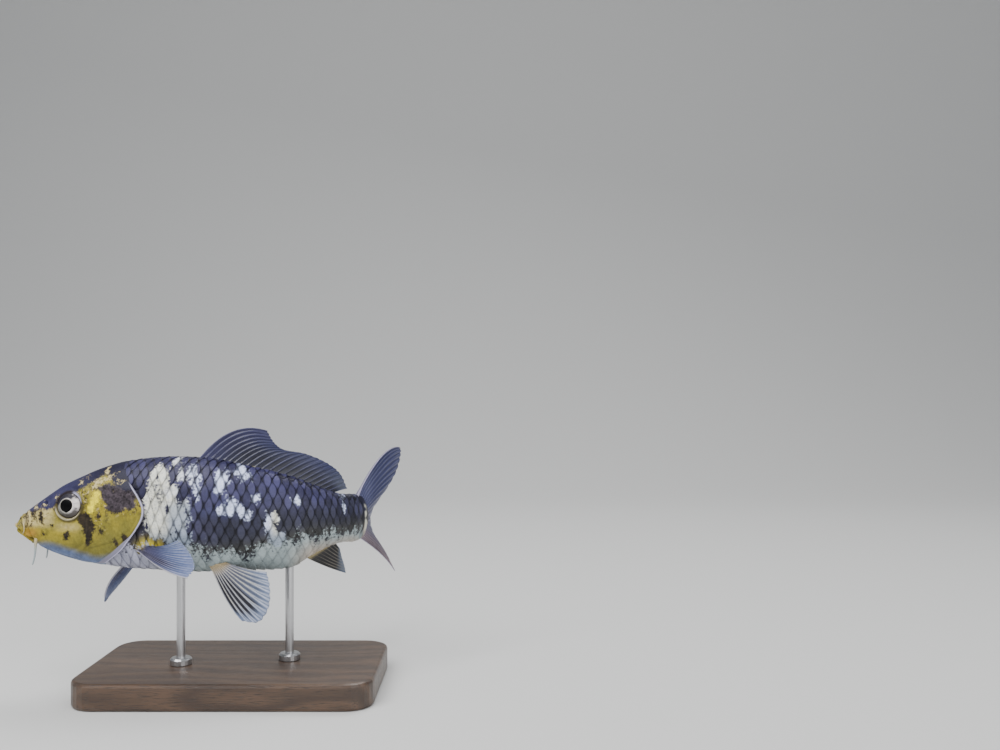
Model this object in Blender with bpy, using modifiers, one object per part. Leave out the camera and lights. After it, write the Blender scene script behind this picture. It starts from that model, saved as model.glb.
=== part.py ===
"""Koi carp, life size, gliding with its tail swept to its right, held by a plain display stand.

The fish is first modelled straight, in fish space: u runs from the snout to the tail, y towards
the fish's right side and z upwards from the level of the snout. Lengths there are shares of the
standard length. One function, pose(), then bends every finished piece along the swimming spine
and sets it in the world, where the origin is the middle of the underside of the stand's base.
"""
import math

import bmesh
import bpy
import numpy as np
from mathutils import Matrix, Vector

# ---------------------------------------------------------------- driving dimensions (metres)
STANDARD_LENGTH = 0.170      # snout to the end of the tail stalk
GAP = 0.0003                 # clear space between touching pieces
SNOUT = Vector((-0.1000, -0.0100, 0.0776))

# The spine's heading in degrees, against the share of the standard length
HEAD_TURN = 5.0              # the snout points a little to the fish's left
TAIL_TURN = 56.0             # sweep of the tail stalk to the fish's right
FIN_TURN = 14.0              # further sweep along the tail fin
HEAD_EASE = (0.10, 0.45)
TAIL_EASE = (0.45, 1.05)
FIN_EASE = (1.00, 1.25)

# Body stations: share, top, bottom, half width, level of the widest point, squareness
STATIONS = (
    (0.000, 0.002, -0.006, 0.005, -0.002, 2.0),
    (0.010, 0.019, -0.019, 0.020, 0.000, 2.0),
    (0.030, 0.038, -0.035, 0.033, 0.002, 2.1),
    (0.063, 0.064, -0.056, 0.043, 0.006, 2.2),
    (0.105, 0.093, -0.076, 0.053, 0.012, 2.3),
    (0.150, 0.119, -0.092, 0.063, 0.018, 2.3),
    (0.210, 0.147, -0.106, 0.073, 0.022, 2.3),
    (0.280, 0.170, -0.117, 0.081, 0.026, 2.3),
    (0.360, 0.182, -0.124, 0.087, 0.027, 2.2),
    (0.450, 0.185, -0.130, 0.087, 0.027, 2.1),
    (0.540, 0.178, -0.130, 0.083, 0.025, 2.1),
    (0.620, 0.160, -0.129, 0.077, 0.018, 2.0),
    (0.700, 0.139, -0.131, 0.069, 0.008, 2.0),
    (0.750, 0.122, -0.126, 0.061, 0.002, 2.0),
    (0.790, 0.105, -0.104, 0.052, 0.001, 2.0),
    (0.840, 0.084, -0.085, 0.043, -0.001, 2.0),
    (0.900, 0.066, -0.076, 0.034, -0.004, 2.0),
    (0.950, 0.060, -0.079, 0.027, -0.008, 2.0),
    (0.985, 0.046, -0.066, 0.018, -0.009, 2.0),
    (1.000, 0.020, -0.040, 0.009, -0.010, 2.0),
)
BODY_RINGS = 39
BODY_SIDES = 26

# Lines across the body, as (share, level) points seen from the side
GILL_EDGE = ((0.290, 0.240), (0.300, 0.150), (0.333, 0.108), (0.352, 0.083), (0.367, 0.050),
             (0.364, 0.027), (0.348, -0.002), (0.325, -0.032), (0.300, -0.060), (0.266, -0.085),
             (0.240, -0.102), (0.225, -0.200))
GILL_COVER = ((0.333, 0.104), (0.352, 0.081), (0.366, 0.050), (0.363, 0.027), (0.347, -0.002),
              (0.324, -0.032), (0.299, -0.058), (0.268, -0.080), (0.232, -0.090), (0.200, -0.078),
              (0.212, -0.045), (0.230, -0.010), (0.240, 0.035), (0.242, 0.080), (0.262, 0.106),
              (0.300, 0.114))
JAW_LINE = ((-0.050, 0.022), (0.005, -0.014), (0.053, -0.044), (0.160, -0.066), (0.172, -0.200),
            (-0.050, -0.200))
TAIL_PART = 0.775            # where the trunk ends and the tail stalk begins
GILL_SLIT = 0.00045          # clear space behind the head, measured along the fish
COVER_RISE = 0.0006          # how far a gill cover stands proud of the head
COVER_DEPTH = 0.0018         # how far it reaches into the head
COVER_SEAM = 0.0004          # clear space round it
COVER_REACH = (0.004, 0.050)  # sideways extent of the block that a cover is cut from
CUT_REACH = 0.060            # half the length of a cutter across the fish

# Eyes
EYE_SHARE = 0.159
EYE_LEVEL = 0.0570
EYE_RADIUS = 0.0400          # in the plane of the eye
EYE_FLATNESS = 0.66          # depth of the eyeball against its radius
EYE_SINK = 0.0180            # centre of the eyeball inside the skin
EYE_FORWARD = 12.0           # degrees that the eye looks forward
EYE_UP = 6.0

# Fins: guide rays as (root, tip, bow). A root or tip is (share, sideways, level), and the bow
# moves the middle of the ray by the same three. Rays between the guides are worked out.
DORSAL_RAYS = (
    ((0.487, 0, 0.174), (0.674, 0, 0.254), (-0.004, 0, 0.038)),
    ((0.545, 0, 0.166), (0.692, 0, 0.222), (0, 0, 0.026)),
    ((0.600, 0, 0.153), (0.720, 0, 0.200), (0, 0, 0.018)),
    ((0.670, 0, 0.135), (0.780, 0, 0.187), (0, 0, 0.010)),
    ((0.740, 0, 0.114), (0.845, 0, 0.159), (0, 0, 0.006)),
    ((0.800, 0, 0.090), (0.893, 0, 0.124), (0, 0, 0.004)),
    ((0.860, 0, 0.068), (0.919, 0, 0.078), (0, 0, 0.002)),
)
ANAL_RAYS = (
    ((0.772, 0, -0.100), (0.915, 0, -0.167), (0, 0, -0.004)),
    ((0.805, 0, -0.088), (0.909, 0, -0.146), (0, 0, -0.003)),
    ((0.840, 0, -0.078), (0.900, 0, -0.120), (0, 0, -0.002)),
    ((0.872, 0, -0.070), (0.890, 0, -0.090), (0, 0, 0.000)),
)
CAUDAL_RAYS = (
    ((0.955, 0.000, 0.050), (1.172, 0.002, 0.183), (0, 0, 0.044)),
    ((0.970, 0.000, 0.040), (1.178, 0.002, 0.166), (0, 0, 0.030)),
    ((0.980, 0.000, 0.022), (1.158, 0.002, 0.122), (0, 0, 0.016)),
    ((0.986, 0.000, 0.006), (1.116, 0.008, 0.070), (0, 0, 0.006)),
    ((0.988, 0.000, -0.010), (1.064, 0.036, -0.010), (0, 0, 0.000)),
    ((0.986, 0.000, -0.026), (1.085, 0.047, -0.076), (0, 0, 0.000)),
    ((0.980, 0.000, -0.042), (1.148, 0.041, -0.146), (0, 0, 0.002)),
    ((0.970, 0.000, -0.056), (1.184, 0.034, -0.196), (0, 0, 0.004)),
    ((0.955, 0.000, -0.064), (1.190, 0.030, -0.209), (0, 0, 0.006)),
)
PECTORAL_LEFT_RAYS = (
    ((0.338, -0.064, -0.058), (0.510, -0.185, -0.112), (0, 0, -0.012)),
    ((0.345, -0.066, -0.055), (0.520, -0.166, -0.094), (0, 0, -0.010)),
    ((0.352, -0.068, -0.051), (0.514, -0.150, -0.071), (0, 0, -0.008)),
    ((0.359, -0.070, -0.048), (0.492, -0.130, -0.043), (0, 0, -0.008)),
    ((0.365, -0.072, -0.045), (0.468, -0.115, -0.026), (0, 0, -0.010)),
)
PECTORAL_RIGHT_RAYS = (
    ((0.336, 0.056, -0.068), (0.212, 0.058, -0.214), (-0.030, 0.014, -0.004)),
    ((0.340, 0.058, -0.061), (0.206, 0.080, -0.231), (-0.024, 0.010, -0.002)),
    ((0.345, 0.060, -0.054), (0.204, 0.101, -0.235), (-0.017, 0.006, 0)),
    ((0.350, 0.062, -0.047), (0.210, 0.120, -0.220), (-0.009, 0.003, 0)),
    ((0.355, 0.064, -0.040), (0.232, 0.136, -0.190), (0, 0, 0)),
)
PELVIC_LEFT_RAYS = (
    ((0.530, -0.036, -0.104), (0.612, -0.085, -0.250), (0, 0, -0.014)),
    ((0.540, -0.041, -0.103), (0.650, -0.095, -0.252), (0, 0, -0.010)),
    ((0.550, -0.046, -0.102), (0.672, -0.095, -0.212), (0, 0, -0.007)),
    ((0.560, -0.050, -0.100), (0.674, -0.086, -0.162), (0, 0, -0.004)),
    ((0.570, -0.053, -0.097), (0.668, -0.072, -0.124), (0, 0, -0.003)),
)
PELVIC_RIGHT_RAYS = (
    ((0.530, 0.036, -0.104), (0.578, 0.062, -0.236), (0, 0, -0.008)),
    ((0.540, 0.041, -0.103), (0.608, 0.074, -0.240), (0, 0, -0.006)),
    ((0.550, 0.046, -0.102), (0.632, 0.080, -0.205), (0, 0, -0.004)),
    ((0.560, 0.050, -0.100), (0.642, 0.078, -0.165), (0, 0, -0.003)),
    ((0.570, 0.053, -0.097), (0.644, 0.070, -0.128), (0, 0, -0.002)),
)
FIN_STEPS = 6                # points along a ray
RAY_THICKNESS = 0.0010
WEB_THICKNESS = 0.0006
ROOT_THICKENING = 1.3        # a fin is this much thicker at its root

# Barbels: share, angle round the body from the top in degrees, length, radius at the root
CORNER_BARBEL = (0.062, 128.0, 0.0115, 0.00045)
LIP_BARBEL = (0.030, 78.0, 0.0050, 0.00035)
BARBEL_HANG = (-0.10, 0.22, -1.0)  # direction: forwards, outwards, down
BARBEL_SWAY = (0.0012, 0.0010)     # swing backwards, and bulge outwards
BARBEL_TIP = 0.65            # radius at the tip against the root
BARBEL_STEPS = 5

# Stand
BASE_SIZE = (0.135, 0.075, 0.012)
BASE_CORNER = 0.012
BASE_EDGE = 0.0015
ROD_RADIUS = 0.0020
COLLAR_RADIUS = 0.0050
COLLAR_HEIGHT = 0.0030
COLLAR_CHAMFER = 0.0008
ROD_SEGMENTS = 20
ROD_HEADROOM = 0.006         # length of rod above the belly's lowest line, trimmed to the skin
ROD_SHARES = {"stand_rod_front": 0.440, "stand_rod_rear": 0.735}


# ---------------------------------------------------------------- small helpers
def ease(value, start, end):
    """A smooth step from 0 to 1."""
    t = np.clip((value - start) / (end - start), 0.0, 1.0)
    return t * t * (3.0 - 2.0 * t)


def smooth_table(rows, share):
    """Read a table at a share with a cubic whose slopes are the neighbours' mean slopes."""
    table = np.asarray(rows, float)
    places = table[:, 0]
    slopes = np.gradient(table[:, 1:], places, axis=0)
    share = float(np.clip(share, places[0], places[-1]))
    k = int(np.clip(np.searchsorted(places, share) - 1, 0, len(places) - 2))
    width = places[k + 1] - places[k]
    t = (share - places[k]) / width
    start = (1 + 2 * t) * (1 - t) ** 2 * table[k, 1:] + t * (1 - t) ** 2 * width * slopes[k]
    end = t * t * (3 - 2 * t) * table[k + 1, 1:] + t * t * (t - 1) * width * slopes[k + 1]
    return start + end


def spread(guides, count):
    """Rays spread evenly between the guide rays, each a flat row of nine numbers."""
    rows = np.array([[*root, *tip, *bow] for root, tip, bow in guides], float)
    places = np.linspace(0.0, 1.0, len(rows))
    table = np.column_stack((places, rows))
    return [smooth_table(table, place) for place in np.linspace(0.0, 1.0, count)]


# ---------------------------------------------------------------- the pose
SPINE_SHARES = np.linspace(-0.1, 1.4, 3001)


def heading(share):
    """Direction of the spine in radians, 0 along +X and positive towards +Y."""
    turn = HEAD_TURN * (1.0 - ease(share, *HEAD_EASE))
    turn = turn + TAIL_TURN * ease(share, *TAIL_EASE)
    turn = turn + FIN_TURN * ease(share, *FIN_EASE)
    return np.radians(turn)


def spine_path():
    """Plan points of the spine at SPINE_SHARES, with the snout at the origin."""
    angles = heading(SPINE_SHARES)
    middle = 0.5 * (angles[1:] + angles[:-1])
    step = np.diff(SPINE_SHARES) * STANDARD_LENGTH
    along = np.concatenate(([0.0], np.cumsum(np.cos(middle) * step)))
    aside = np.concatenate(([0.0], np.cumsum(np.sin(middle) * step)))
    along -= np.interp(0.0, SPINE_SHARES, along)
    aside -= np.interp(0.0, SPINE_SHARES, aside)
    return along, aside


SPINE_X, SPINE_Y = spine_path()


def pose(point):
    """Fish space in metres to the world."""
    share = point[0] / STANDARD_LENGTH
    angle = float(heading(share))
    x = float(np.interp(share, SPINE_SHARES, SPINE_X)) - point[1] * math.sin(angle)
    y = float(np.interp(share, SPINE_SHARES, SPINE_Y)) + point[1] * math.cos(angle)
    return SNOUT + Vector((x, y, point[2]))


# ---------------------------------------------------------------- scene, materials, objects
def clear_scene():
    for thing in list(bpy.data.objects):
        bpy.data.objects.remove(thing, do_unlink=True)


def make_collection(name):
    group = bpy.data.collections.new(name)
    bpy.context.scene.collection.children.link(group)
    return group


def material(name, colour, roughness, metallic=0.0):
    made = bpy.data.materials.new(name)
    made.use_nodes = True
    shader = made.node_tree.nodes["Principled BSDF"]
    shader.inputs["Base Color"].default_value = (*colour, 1.0)
    shader.inputs["Roughness"].default_value = roughness
    shader.inputs["Metallic"].default_value = metallic
    made.diffuse_color = (*colour, 1.0)
    return made


def mesh_object(name, mesh, group):
    thing = bpy.data.objects.new(name, mesh)
    group.objects.link(thing)
    return thing


def from_bmesh(name, shape, group):
    """An object of flat triangles, which Booleans cut cleanly."""
    bmesh.ops.triangulate(shape, faces=shape.faces)
    bmesh.ops.recalc_face_normals(shape, faces=shape.faces)
    mesh = bpy.data.meshes.new(name)
    shape.to_mesh(mesh)
    shape.free()
    return mesh_object(name, mesh, group)


def cut(target, cutter, operation):
    """Apply one Boolean to the target straight away; the cutter stays among the guides."""
    step = target.modifiers.new(operation.lower(), "BOOLEAN")
    step.object = cutter
    step.operation = operation
    step.solver = "EXACT"
    bpy.context.view_layer.update()
    graph = bpy.context.evaluated_depsgraph_get()
    mesh = bpy.data.meshes.new_from_object(target.evaluated_get(graph))
    target.modifiers.remove(step)
    target.data = mesh


def copy_of(thing, name, group):
    return mesh_object(name, thing.data.copy(), group)


def finish(thing, look, bent=True):
    """Clean the mesh, bend it along the spine where it belongs to the fish, and dress it."""
    shape = bmesh.new()
    shape.from_mesh(thing.data)
    bmesh.ops.remove_doubles(shape, verts=shape.verts, dist=0.000002)
    bmesh.ops.triangulate(shape, faces=shape.faces)
    if bent:
        for vertex in shape.verts:
            vertex.co = pose(vertex.co)
    bmesh.ops.recalc_face_normals(shape, faces=shape.faces)
    shape.to_mesh(thing.data)
    shape.free()
    thing.data.shade_smooth()
    thing.data.set_sharp_from_angle(angle=math.radians(35.0))
    thing.data.materials.clear()
    thing.data.materials.append(look)
    return thing


# ---------------------------------------------------------------- body
def skin_point(share, angle, inflate=0.0):
    """A point of the skin in metres; the angle is 0 at the top and grows to the right side."""
    top, bottom, half_width, widest, squareness = smooth_table(STATIONS, share)
    least = min(top - widest, widest - bottom, half_width) * STANDARD_LENGTH
    inflate = max(inflate, -0.6 * least)
    top = top * STANDARD_LENGTH + inflate
    bottom = bottom * STANDARD_LENGTH - inflate
    half_width = half_width * STANDARD_LENGTH + inflate
    widest = widest * STANDARD_LENGTH
    power = 2.0 / squareness
    across = math.copysign(abs(math.sin(angle)) ** power, math.sin(angle))
    upright = math.copysign(abs(math.cos(angle)) ** power, math.cos(angle))
    reach = top - widest if upright > 0 else widest - bottom
    along = share * STANDARD_LENGTH + inflate * (2.0 * share - 1.0)
    return Vector((along, half_width * across, widest + reach * upright))


def ring_shares():
    """Shares of the body rings, closer together at both ends."""
    even = np.linspace(0.0, 1.0, BODY_RINGS)
    crowded = 0.5 - 0.5 * np.cos(math.pi * even)
    return 0.45 * crowded + 0.55 * even


def body(name, inflate, group):
    """The whole body as one closed loft, straight, grown by inflate metres."""
    shape = bmesh.new()
    rings = []
    for share in ring_shares():
        ring = []
        for side in range(BODY_SIDES):
            angle = 2.0 * math.pi * side / BODY_SIDES
            ring.append(shape.verts.new(skin_point(share, angle, inflate)))
        rings.append(ring)
    for front, back in zip(rings, rings[1:]):
        for side in range(BODY_SIDES):
            after = (side + 1) % BODY_SIDES
            shape.faces.new((front[side], front[after], back[after], back[side]))
    shape.faces.new(rings[0])
    shape.faces.new(rings[-1])
    return from_bmesh(name, shape, group)


def prism(name, outline, group, y_from=-CUT_REACH, y_to=CUT_REACH, shift=0.0):
    """A cutter that extrudes a side-view outline, given in shares, across the fish."""
    shape = bmesh.new()
    corners = [((share * STANDARD_LENGTH + shift), level * STANDARD_LENGTH)
               for share, level in outline]
    near = [shape.verts.new((u, y_from, z)) for u, z in corners]
    far = [shape.verts.new((u, y_to, z)) for u, z in corners]
    shape.faces.new(near)
    shape.faces.new(far)
    for k in range(len(corners)):
        after = (k + 1) % len(corners)
        shape.faces.new((near[k], near[after], far[after], far[k]))
    return from_bmesh(name, shape, group)


def grown(outline, amount):
    """The outline with each corner moved outwards from its neighbours' line, in metres."""
    points = np.asarray(outline, float)
    before = np.roll(points, 1, axis=0)
    after = np.roll(points, -1, axis=0)
    along = after - before
    normals = np.column_stack((along[:, 1], -along[:, 0]))
    normals /= np.linalg.norm(normals, axis=1)[:, None]
    area = np.sum(before[:, 0] * points[:, 1] - points[:, 0] * before[:, 1])
    outwards = 1.0 if area > 0 else -1.0
    return points + normals * outwards * amount / STANDARD_LENGTH


def front_of(line, name, group, shift):
    """Cutter for all that lies in front of a line from the top of the fish to its underside."""
    outline = ((-0.30, line[0][1]), *line, (-0.30, line[-1][1]))
    return prism(name, outline, group, shift=shift)


def slab(name, start, end, group):
    """Cutter for all that lies between two shares."""
    outline = ((start, -0.5), (end, -0.5), (end, 0.5), (start, 0.5))
    return prism(name, outline, group)


# ---------------------------------------------------------------- eyes
def eye_place(side):
    """Where the centre of an eyeball lies; side is -1 for left and 1 for right."""
    top, bottom, half_width, widest, squareness = smooth_table(STATIONS, EYE_SHARE)
    height = (EYE_LEVEL - widest) / (top - widest)
    surface = half_width * (1.0 - abs(height) ** squareness) ** (1.0 / squareness)
    sideways = side * (surface - EYE_SINK)
    return Vector((EYE_SHARE, sideways, EYE_LEVEL)) * STANDARD_LENGTH


def eyeball(name, side, inflate, group):
    """A flattened ball that looks out, a little forwards and up."""
    shape = bmesh.new()
    bmesh.ops.create_uvsphere(shape, u_segments=16, v_segments=10, radius=1.0)
    radius = EYE_RADIUS * STANDARD_LENGTH + inflate
    depth = EYE_RADIUS * EYE_FLATNESS * STANDARD_LENGTH + inflate
    outward = Matrix.Rotation(math.radians(side * 90.0), 4, "X")
    turn = Matrix.Rotation(math.radians(side * EYE_FORWARD), 4, "Z")
    lift = Matrix.Rotation(math.radians(side * EYE_UP), 4, "X")
    place = Matrix.Translation(eye_place(side))
    size = Matrix.Diagonal((radius, radius, depth, 1.0))
    shape.transform(place @ turn @ lift @ outward @ size)
    return from_bmesh(name, shape, group)


# ---------------------------------------------------------------- fins
def ray_point(row, t):
    """A point at share t of a ray, in metres."""
    root = Vector(row[0:3])
    tip = Vector(row[3:6])
    bow = Vector(row[6:9]) * 4.0 * t * (1.0 - t)
    return (root.lerp(tip, t) + bow) * STANDARD_LENGTH


def fin(name, guides, rays, group):
    """A closed thin sheet over the rays, thick on each ray and thin on the web between."""
    rows = spread(guides, 2 * rays - 1)
    steps = np.linspace(0.0, 1.0, FIN_STEPS)
    grid = [[ray_point(row, t) for t in steps] for row in rows]
    count = len(rows)
    shape = bmesh.new()
    faces_of_sheet = []
    for direction in (1.0, -1.0):
        sheet = []
        for i in range(count):
            line = []
            for j in range(FIN_STEPS):
                before = grid[max(i - 1, 0)][j]
                after = grid[min(i + 1, count - 1)][j]
                inner = grid[i][max(j - 1, 0)]
                outer = grid[i][min(j + 1, FIN_STEPS - 1)]
                normal = (after - before).cross(outer - inner).normalized()
                thick = RAY_THICKNESS if i % 2 == 0 else WEB_THICKNESS
                thick *= 1.0 + (ROOT_THICKENING - 1.0) * (1.0 - steps[j]) ** 2
                line.append(shape.verts.new(grid[i][j] + normal * direction * 0.5 * thick))
            sheet.append(line)
        faces_of_sheet.append(sheet)
    upper, lower = faces_of_sheet
    last = FIN_STEPS - 1
    for i in range(count - 1):
        for j in range(last):
            for sheet in (upper, lower):
                shape.faces.new((sheet[i][j], sheet[i + 1][j], sheet[i + 1][j + 1], sheet[i][j + 1]))
        for j in (0, last):
            shape.faces.new((upper[i][j], upper[i + 1][j], lower[i + 1][j], lower[i][j]))
    for j in range(last):
        for i in (0, count - 1):
            shape.faces.new((upper[i][j], upper[i][j + 1], lower[i][j + 1], lower[i][j]))
    return from_bmesh(name, shape, group)


# ---------------------------------------------------------------- barbels
def barbel(name, kind, side, group):
    """A thin tapering feeler that leaves the skin and hangs down and back."""
    share, degrees, length, radius = kind
    angle = side * math.radians(degrees)
    root = skin_point(share, angle, inflate=GAP + radius)
    forwards, outwards, down = BARBEL_HANG
    hang = Vector((forwards, side * outwards, down)).normalized() * length
    back_swing, bulge = BARBEL_SWAY
    curve = bpy.data.curves.new(name, "CURVE")
    curve.dimensions = "3D"
    curve.bevel_depth = radius
    curve.bevel_resolution = 2
    curve.use_fill_caps = True
    spline = curve.splines.new("POLY")
    spline.points.add(BARBEL_STEPS)
    for k, point in enumerate(spline.points):
        t = k / BARBEL_STEPS
        sway = Vector((back_swing * math.sin(2.4 * t), side * bulge * t * (1.0 - t), 0.0))
        point.co = (*(root + hang * t + sway), 1.0)
        point.radius = 1.0 - (1.0 - BARBEL_TIP) * t
    holder = mesh_object(name + "_curve", curve, group)
    bpy.context.view_layer.update()
    graph = bpy.context.evaluated_depsgraph_get()
    mesh = bpy.data.meshes.new_from_object(holder.evaluated_get(graph))
    bpy.data.objects.remove(holder)
    return mesh_object(name, mesh, group)


# ---------------------------------------------------------------- stand
def stand_base(group):
    """A flat board with round corners and a small bevel round its edges."""
    length, width, height = BASE_SIZE
    bpy.ops.mesh.primitive_cube_add(size=1.0, location=(0.0, 0.0, 0.5 * height))
    board = bpy.context.object
    board.name = "stand_base"
    board.data.transform(Matrix.Diagonal((length, width, height, 1.0)))
    shape = bmesh.new()
    shape.from_mesh(board.data)
    upright = [edge for edge in shape.edges
               if abs(edge.verts[0].co.z - edge.verts[1].co.z) > 0.5 * height]
    bmesh.ops.bevel(shape, geom=upright, offset=BASE_CORNER, segments=6, profile=0.5,
                    affect="EDGES")
    rims = [edge for edge in shape.edges
            if abs(edge.verts[0].co.z - edge.verts[1].co.z) < 1e-6 and edge.calc_face_angle() > 1.0]
    bmesh.ops.bevel(shape, geom=rims, offset=BASE_EDGE, segments=2, profile=0.5, affect="EDGES")
    shape.to_mesh(board.data)
    shape.free()
    for owner in list(board.users_collection):
        owner.objects.unlink(board)
    group.objects.link(board)
    return board


def stand_rod(name, share, group):
    """A round rod with a collar at its foot, long enough to reach into the belly."""
    foot = BASE_SIZE[2] + GAP
    bottom = smooth_table(STATIONS, share)[1] * STANDARD_LENGTH
    head = SNOUT.z + bottom + ROD_HEADROOM
    shoulder = foot + COLLAR_HEIGHT
    profile = ((0.0, head), (ROD_RADIUS, head), (ROD_RADIUS, shoulder),
               (COLLAR_RADIUS - COLLAR_CHAMFER, shoulder),
               (COLLAR_RADIUS, shoulder - COLLAR_CHAMFER), (COLLAR_RADIUS, foot), (0.0, foot))
    mesh = bpy.data.meshes.new(name)
    edges = [(k, k + 1) for k in range(len(profile) - 1)]
    mesh.from_pydata([(radius, 0.0, height) for radius, height in profile], edges, [])
    rod = mesh_object(name, mesh, group)
    turned = rod.modifiers.new("turned", "SCREW")
    turned.steps = ROD_SEGMENTS
    turned.render_steps = ROD_SEGMENTS
    turned.use_merge_vertices = True
    turned.merge_threshold = 0.00001
    turned.use_normal_calculate = True
    bpy.context.view_layer.update()
    graph = bpy.context.evaluated_depsgraph_get()
    solid = bpy.data.meshes.new_from_object(rod.evaluated_get(graph))
    rod.modifiers.remove(turned)
    rod.data = solid
    spot = pose(Vector((share * STANDARD_LENGTH, 0.0, 0.0)))
    solid.transform(Matrix.Translation((spot.x, spot.y, 0.0)))
    return rod


# ---------------------------------------------------------------- assembly
def looks():
    """Plain colours for the parts."""
    return {
        "head": material("head_skin", (0.42, 0.36, 0.12), 0.38),
        "trunk": material("trunk_skin", (0.13, 0.12, 0.19), 0.40),
        "fin": material("fin_skin", (0.20, 0.18, 0.34), 0.45),
        "pale": material("pale_skin", (0.62, 0.60, 0.66), 0.42),
        "eye": material("eye_glass", (0.05, 0.05, 0.06), 0.08),
        "wood": material("dark_wood", (0.10, 0.06, 0.035), 0.45),
        "steel": material("brushed_steel", (0.62, 0.62, 0.63), 0.30, 1.0),
    }


def build_flesh(parts, guides, look):
    whole = body("guide_body", 0.0, guides)
    shrunk = body("guide_body_shrunk", -COVER_DEPTH, guides)
    inner = body("guide_body_inner", -COVER_DEPTH + GAP, guides)
    raised = body("guide_body_raised", COVER_RISE, guides)
    before_gill = front_of(GILL_EDGE, "guide_head", guides, 0.0)
    before_trunk = front_of(GILL_EDGE, "guide_head_gap", guides, GILL_SLIT)
    jaw_block = prism("guide_jaw", JAW_LINE, guides)
    jaw_gap = prism("guide_jaw_gap", grown(JAW_LINE, GAP), guides)

    head = copy_of(whole, "head", parts)
    cut(head, before_gill, "INTERSECT")
    cut(head, jaw_gap, "DIFFERENCE")
    for side, word in ((-1, "left"), (1, "right")):
        inner_end, outer_end = COVER_REACH
        reach = (-outer_end, -inner_end) if side < 0 else (inner_end, outer_end)
        pocket = prism("guide_pocket_" + word, grown(GILL_COVER, COVER_SEAM), guides, *reach)
        cut(pocket, shrunk, "DIFFERENCE")
        cut(head, pocket, "DIFFERENCE")
        plate = prism("gill_cover_" + word, GILL_COVER, parts, *reach)
        cut(plate, raised, "INTERSECT")
        cut(plate, inner, "DIFFERENCE")
        socket = eyeball("guide_socket_" + word, side, GAP, guides)
        cut(head, socket, "DIFFERENCE")
        eye = eyeball("eye_" + word, side, 0.0, parts)
        finish(plate, look["head"])
        finish(eye, look["eye"])
    finish(head, look["head"])

    jaw = copy_of(whole, "lower_jaw", parts)
    cut(jaw, jaw_block, "INTERSECT")
    finish(jaw, look["pale"])

    trunk = copy_of(whole, "trunk", parts)
    cut(trunk, before_trunk, "DIFFERENCE")
    cut(trunk, slab("guide_trunk", 0.0, TAIL_PART, guides), "INTERSECT")
    finish(trunk, look["trunk"])

    stalk = copy_of(whole, "tail_stalk", parts)
    start = TAIL_PART + GAP / STANDARD_LENGTH
    cut(stalk, slab("guide_stalk", start, 1.1, guides), "INTERSECT")
    finish(stalk, look["trunk"])


def build_fins(parts, guides, look):
    clear_body = body("guide_body_clear", GAP, guides)
    kinds = (
        ("dorsal_fin", DORSAL_RAYS, 11, "fin"),
        ("anal_fin", ANAL_RAYS, 6, "fin"),
        ("caudal_fin", CAUDAL_RAYS, 13, "fin"),
        ("pectoral_fin_left", PECTORAL_LEFT_RAYS, 7, "fin"),
        ("pectoral_fin_right", PECTORAL_RIGHT_RAYS, 7, "fin"),
        ("pelvic_fin_left", PELVIC_LEFT_RAYS, 7, "pale"),
        ("pelvic_fin_right", PELVIC_RIGHT_RAYS, 7, "pale"),
    )
    for name, rays, count, colour in kinds:
        piece = fin(name, rays, count, parts)
        cut(piece, clear_body, "DIFFERENCE")
        finish(piece, look[colour])


def build_barbels(parts, look):
    for side, word in ((-1, "left"), (1, "right")):
        for name, kind in (("barbel_", CORNER_BARBEL), ("lip_barbel_", LIP_BARBEL)):
            finish(barbel(name + word, kind, side, parts), look["pale"])


def build_stand(parts, guides, look):
    clear_body = body("guide_body_above_rods", GAP, guides)
    for vertex in clear_body.data.vertices:
        vertex.co = pose(vertex.co)
    finish(stand_base(parts), look["wood"], bent=False)
    for name, share in ROD_SHARES.items():
        rod = stand_rod(name, share, parts)
        cut(rod, clear_body, "DIFFERENCE")
        finish(rod, look["steel"], bent=False)


def main():
    clear_scene()
    parts = make_collection("koi_carp")
    guides = make_collection("cutters")
    look = looks()
    build_flesh(parts, guides, look)
    build_fins(parts, guides, look)
    build_barbels(parts, look)
    build_stand(parts, guides, look)
    for guide in guides.objects:
        guide.hide_render = True
        guide.display_type = "WIRE"


main()
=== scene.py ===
"""Looks of the koi carp on its display stand.

One skin with lips, folds, nostrils, orbits and gill covers takes the place of the solids of flesh.
Solid scales overlap on it, and the fins are thin webs over branching rays. As in the model's own
frame, the fish is worked out straight, in fish space: u from the snout to the tail, y towards the
fish's right side, z upwards, with lengths as shares of the standard length. pose() bends it.
"""
import itertools
import math

import bpy
import numpy as np
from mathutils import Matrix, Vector


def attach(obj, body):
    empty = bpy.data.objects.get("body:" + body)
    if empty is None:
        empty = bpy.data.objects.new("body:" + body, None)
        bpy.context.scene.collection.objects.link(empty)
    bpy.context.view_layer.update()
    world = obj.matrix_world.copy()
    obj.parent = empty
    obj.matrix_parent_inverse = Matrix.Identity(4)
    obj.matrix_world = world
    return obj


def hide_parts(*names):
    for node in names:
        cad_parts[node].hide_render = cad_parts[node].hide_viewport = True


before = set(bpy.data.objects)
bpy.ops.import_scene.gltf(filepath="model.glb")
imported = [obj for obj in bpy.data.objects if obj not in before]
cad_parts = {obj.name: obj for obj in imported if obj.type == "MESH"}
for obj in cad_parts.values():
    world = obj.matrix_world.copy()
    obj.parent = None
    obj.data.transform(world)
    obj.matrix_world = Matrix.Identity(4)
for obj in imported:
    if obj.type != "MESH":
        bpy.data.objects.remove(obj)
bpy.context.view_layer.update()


def thousandths(*rows):
    """A table whose numbers are written in thousandths."""
    return np.array(rows) / 1000.0


def tone(red, green, blue):
    """A colour in thousandths of full strength."""
    return thousandths(red, green, blue)


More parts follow.
